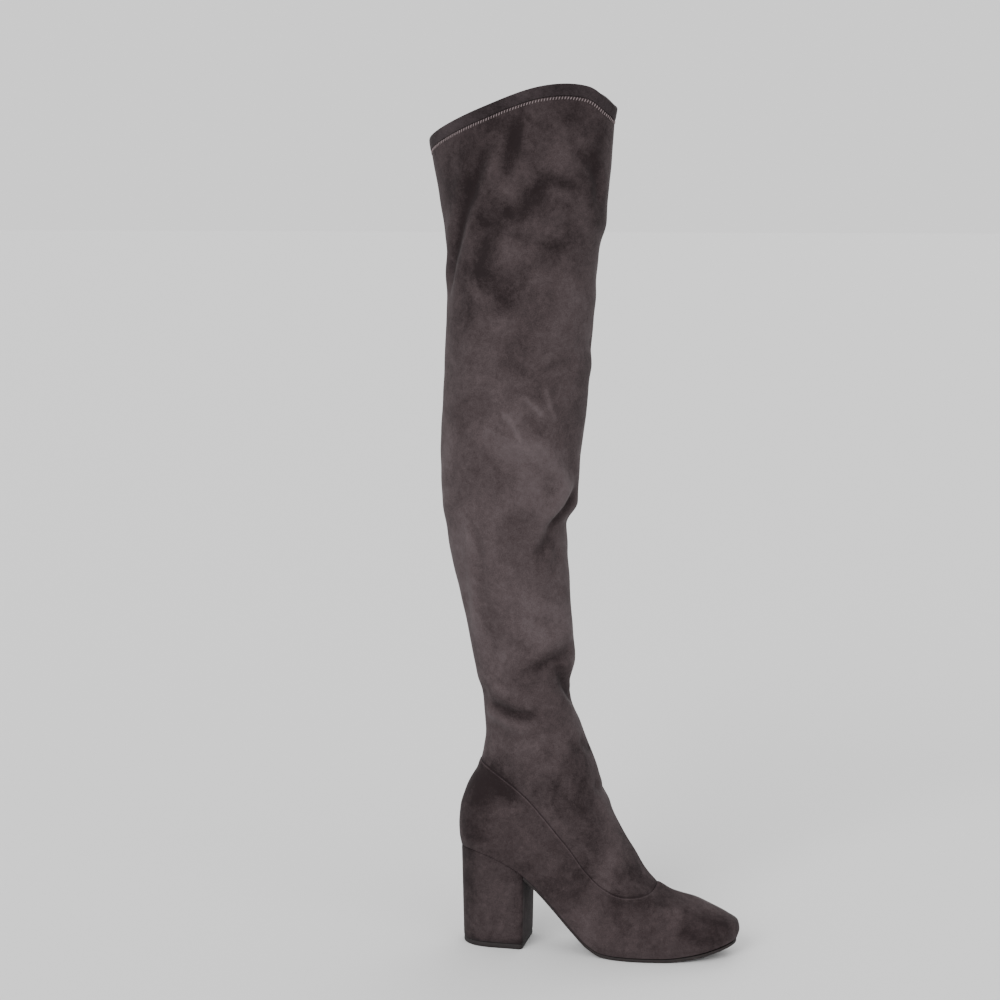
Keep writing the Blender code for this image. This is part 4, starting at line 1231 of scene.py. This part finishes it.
def make_zip():
    """Tape with a lip of folded suede on each side of the chain."""
    edge = ZIP_WIDTH / 2 - 0.00005
    middle = (edge + LIP_GAP) / 2
    reach = (edge - LIP_GAP) / 2
    lips = []
    for side, label in ((-1.0, "front"), (1.0, "back")):
        profile = [(side * (middle + reach * math.cos(a)), -0.0006 + 0.0010 * math.sin(a) ** 0.7)
                   for a in np.radians(np.linspace(0, 180, 9))]
        profile += [(side * LIP_GAP, -0.0012), (side * edge, -0.0012)]
        lips.append(sweep_on_zip("zip_lip_" + label, profile, looks["zip_lip_suede"]))
    strip = [(-edge, -0.0014), (edge, -0.0014), (edge, -0.0019), (-edge, -0.0019)]
    sweep_on_zip("zip_cloth", strip, looks["zip_tape_cloth"])
    return lips[0]


def make_coil():
    """Coil of the closed zip, seen in the groove between the lips."""
    heights = np.linspace(ZIP_STOP + 0.001, ZIP_START - SLIDER_LENGTH, 230)
    side = np.where(np.arange(len(heights)) % 2 == 0, 0.00022, -0.00022)
    place, round_it, _, out, _ = on_zip(heights, side, -0.0009)
    add_stitches("zip_coil", place, round_it, out, 0.0012, 0.00062, "zip_teeth")


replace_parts(make_zip(), "zip_tape")
make_coil()


def slider_place():
    """Centre of the slider on the boot's smooth surface, with its directions up, across and out."""
    height = ZIP_START - CLEARANCE - SLIDER_LENGTH / 2
    levels = (height - 0.002, height, height + 0.002)
    low, centre, high = (surface(zip_line(level), level) for level in levels)
    out = directions(zip_line(height), height)[2]
    up_way = unit(high - low)
    across = unit(np.cross(out, up_way))
    return centre, np.stack([up_way, across, unit(np.cross(up_way, across))])


SLIDER_CENTRE, SLIDER_WAYS = slider_place()


def in_slider(points):
    """Points from distances up, across and out in the slider's own directions."""
    return SLIDER_CENTRE + np.asarray(points) @ SLIDER_WAYS


def add_plate(name, outline, holes, low, high, body, rounding):
    """Flat metal plate with holes in the slider's own directions, with rounded edges."""
    model = bmesh.new()
    edges = []
    for loop in [outline] + holes:
        ring = [model.verts.new((up, across, low)) for up, across in loop]
        edges += [model.edges.new(ends) for ends in zip(ring, ring[1:] + ring[:1])]
    bmesh.ops.triangle_fill(model, edges=edges, use_beauty=True)
    raised = bmesh.ops.extrude_face_region(model, geom=model.faces[:])
    moved = [item for item in raised["geom"] if isinstance(item, bmesh.types.BMVert)]
    bmesh.ops.translate(model, verts=moved, vec=(0, 0, high - low))
    bmesh.ops.recalc_face_normals(model, faces=model.faces)
    rims = [edge for edge in model.edges if edge.calc_face_angle(0) > math.radians(60)]
    bmesh.ops.bevel(model, geom=rims, offset=rounding, segments=3, profile=0.5, affect="EDGES")
    for vertex in model.verts:
        vertex.co = Vector(in_slider(tuple(vertex.co)))
    bmesh.ops.recalc_face_normals(model, faces=model.faces)
    mesh = bpy.data.meshes.new(name)
    model.to_mesh(mesh)
    model.free()
    return finish_piece(name, mesh, looks["dark_nickel"], 35, body)


def smooth_outline(sides, half):
    """Symmetric outline, through widths at places along its middle line, with round ends."""
    low, high = sides[0][0], sides[-1][0]
    places = (low + high) / 2 - (high - low) / 2 * np.cos(np.linspace(0.0, math.pi, 40))
    widths = half * on_curve(places, table_curve(sides))[:, 0]
    return list(zip(places, widths)) + list(zip(places[::-1], -widths[::-1]))


def round_rectangle(low, high, half, corner):
    """Outline of a rectangle with rounded corners."""
    points = []
    for up, across, start in ((high - corner, half - corner, 90), (high - corner, corner - half, 0),
                              (low + corner, corner - half, 270), (low + corner, half - corner, 180)):
        for turn in np.radians(np.linspace(start, start - 90, 7)):
            points.append((up + corner * math.cos(turn), across + corner * math.sin(turn)))
    return points


def squared(angles, power):
    """Cosines and sines of the angles, drawn out towards a rounded square."""
    parts = np.stack([np.cos(angles), np.sin(angles)])
    return np.sign(parts) * np.abs(parts) ** power


def make_slider():
    """Slider body with flared shoulders, and the bridge over the pull."""
    reach = SLIDER_LENGTH / 2
    sides = [(share * reach, width) for share, width in SLIDER_SIDES]
    plate_top = SLIDER_LIFT + SLIDER_PLATE
    plate = add_plate("slider_plate", smooth_outline(sides, SLIDER_WIDTH / 2), [], SLIDER_LIFT, plate_top,
                      "boot", 0.00055)
    foot = plate_top - 0.0003
    top = plate_top + BRIDGE_GAP + BRIDGE_THICKNESS
    along_it, over_it = squared(np.linspace(0.0, math.pi, 17), 0.55)
    outer, inner = (np.column_stack([(BRIDGE_LENGTH / 2 - inset) * along_it,
                                     foot + (top - inset - foot) * over_it])
                    for inset in (0.0, BRIDGE_THICKNESS))
    depth, width = squared(math.tau * np.arange(12) / 12, 0.7)
    middle = (outer + inner) / 2
    up, out = (middle[:, k:k + 1] + (outer - middle)[:, k:k + 1] * depth for k in (0, 1))
    sections = np.stack([up, 0.0 * up + BRIDGE_WIDTH / 2 * width, out], axis=-1)
    add_rod("slider_bridge", in_slider(sections), looks["dark_nickel"])
    return plate


def make_pull():
    """Pull tab: an eye round the bridge, a waist, and a rounded end with a small hole."""
    bar = PULL_THICKNESS / 2
    eye = math.hypot(BRIDGE_LENGTH / 2, BRIDGE_GAP / 2 + BRIDGE_THICKNESS) + 2 * CLEARANCE
    end = -PULL_LENGTH
    sides = [(end, 0.30), (end + 0.0006, 0.62), (end + 0.0018, 0.83), (end + 0.0040, 0.88),
             (-eye - 0.0025, 0.80), (-eye - 0.0008, 0.88), (-0.8 * eye, 1.0), (-0.35 * eye, 0.97),
             (-bar, 0.86), (0.0, 0.74), (bar, 0.50)]
    window = round_rectangle(-eye, -bar, BRIDGE_WIDTH / 2 + 2 * CLEARANCE, 0.0006)
    angles = math.tau * np.arange(16) / 16
    hole = list(zip(end + 0.0028 + 0.0009 * np.cos(angles), 0.0012 * np.sin(angles)))
    axis = SLIDER_LIFT + SLIDER_PLATE + BRIDGE_GAP / 2
    return add_plate("pull_tab", smooth_outline(sides, PULL_WIDTH / 2), [window, hole],
                     axis - bar, axis + bar, "pull", 0.00025)


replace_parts(make_slider(), "zip_slider")
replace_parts(make_pull(), "zip_pull")


# Floor, lights and camera

def make_stage():
    mesh = bpy.data.meshes.new("floor")
    mesh.from_pydata([(-40, -40, 0), (40, -40, 0), (40, 40, 0), (-40, 40, 0)], [], [(0, 1, 2, 3)])
    floor = bpy.data.objects.new("floor", mesh)
    bpy.context.collection.objects.link(floor)
    mesh.materials.append(plain_material("pale_floor", (0.67, 0.67, 0.67), 0.95)[0])


def add_sun(name, place, spread_angle, strength):
    light = bpy.data.lights.new(name, "SUN")
    light.angle = math.radians(spread_angle)
    light.energy = strength
    holder = bpy.data.objects.new(name, light)
    holder.location = place
    holder.rotation_euler = (-Vector(place)).to_track_quat("-Z", "Y").to_euler()
    bpy.context.collection.objects.link(holder)


def make_lights():
    add_sun("key_light", (-0.30, -1.0, 0.62), 30.0, 2.4)
    add_sun("fill_light", (1.0, -0.8, 0.45), 45.0, 0.6)
    add_sun("back_light", (0.2, 1.0, 0.6), 45.0, 1.0)
    world = bpy.data.worlds.new("pale_room")
    world.use_nodes = True
    room = world.node_tree.nodes["Background"]
    room.inputs["Color"].default_value = (1.0, 1.0, 1.0, 1.0)
    room.inputs["Strength"].default_value = 1.15
    bpy.context.scene.world = world


def make_camera():
    camera = bpy.data.cameras.new("camera")
    camera.lens = CAMERA_LENS
    camera.shift_y = CAMERA_SHIFT
    camera.clip_end = 50.0
    holder = bpy.data.objects.new("camera", camera)
    holder.location = CAMERA_PLACE
    holder.rotation_euler = (math.radians(90 - CAMERA_TILT), 0.0, math.radians(CAMERA_TURN))
    bpy.context.collection.objects.link(holder)
    bpy.context.scene.camera = holder


make_stage()
make_lights()
make_camera()
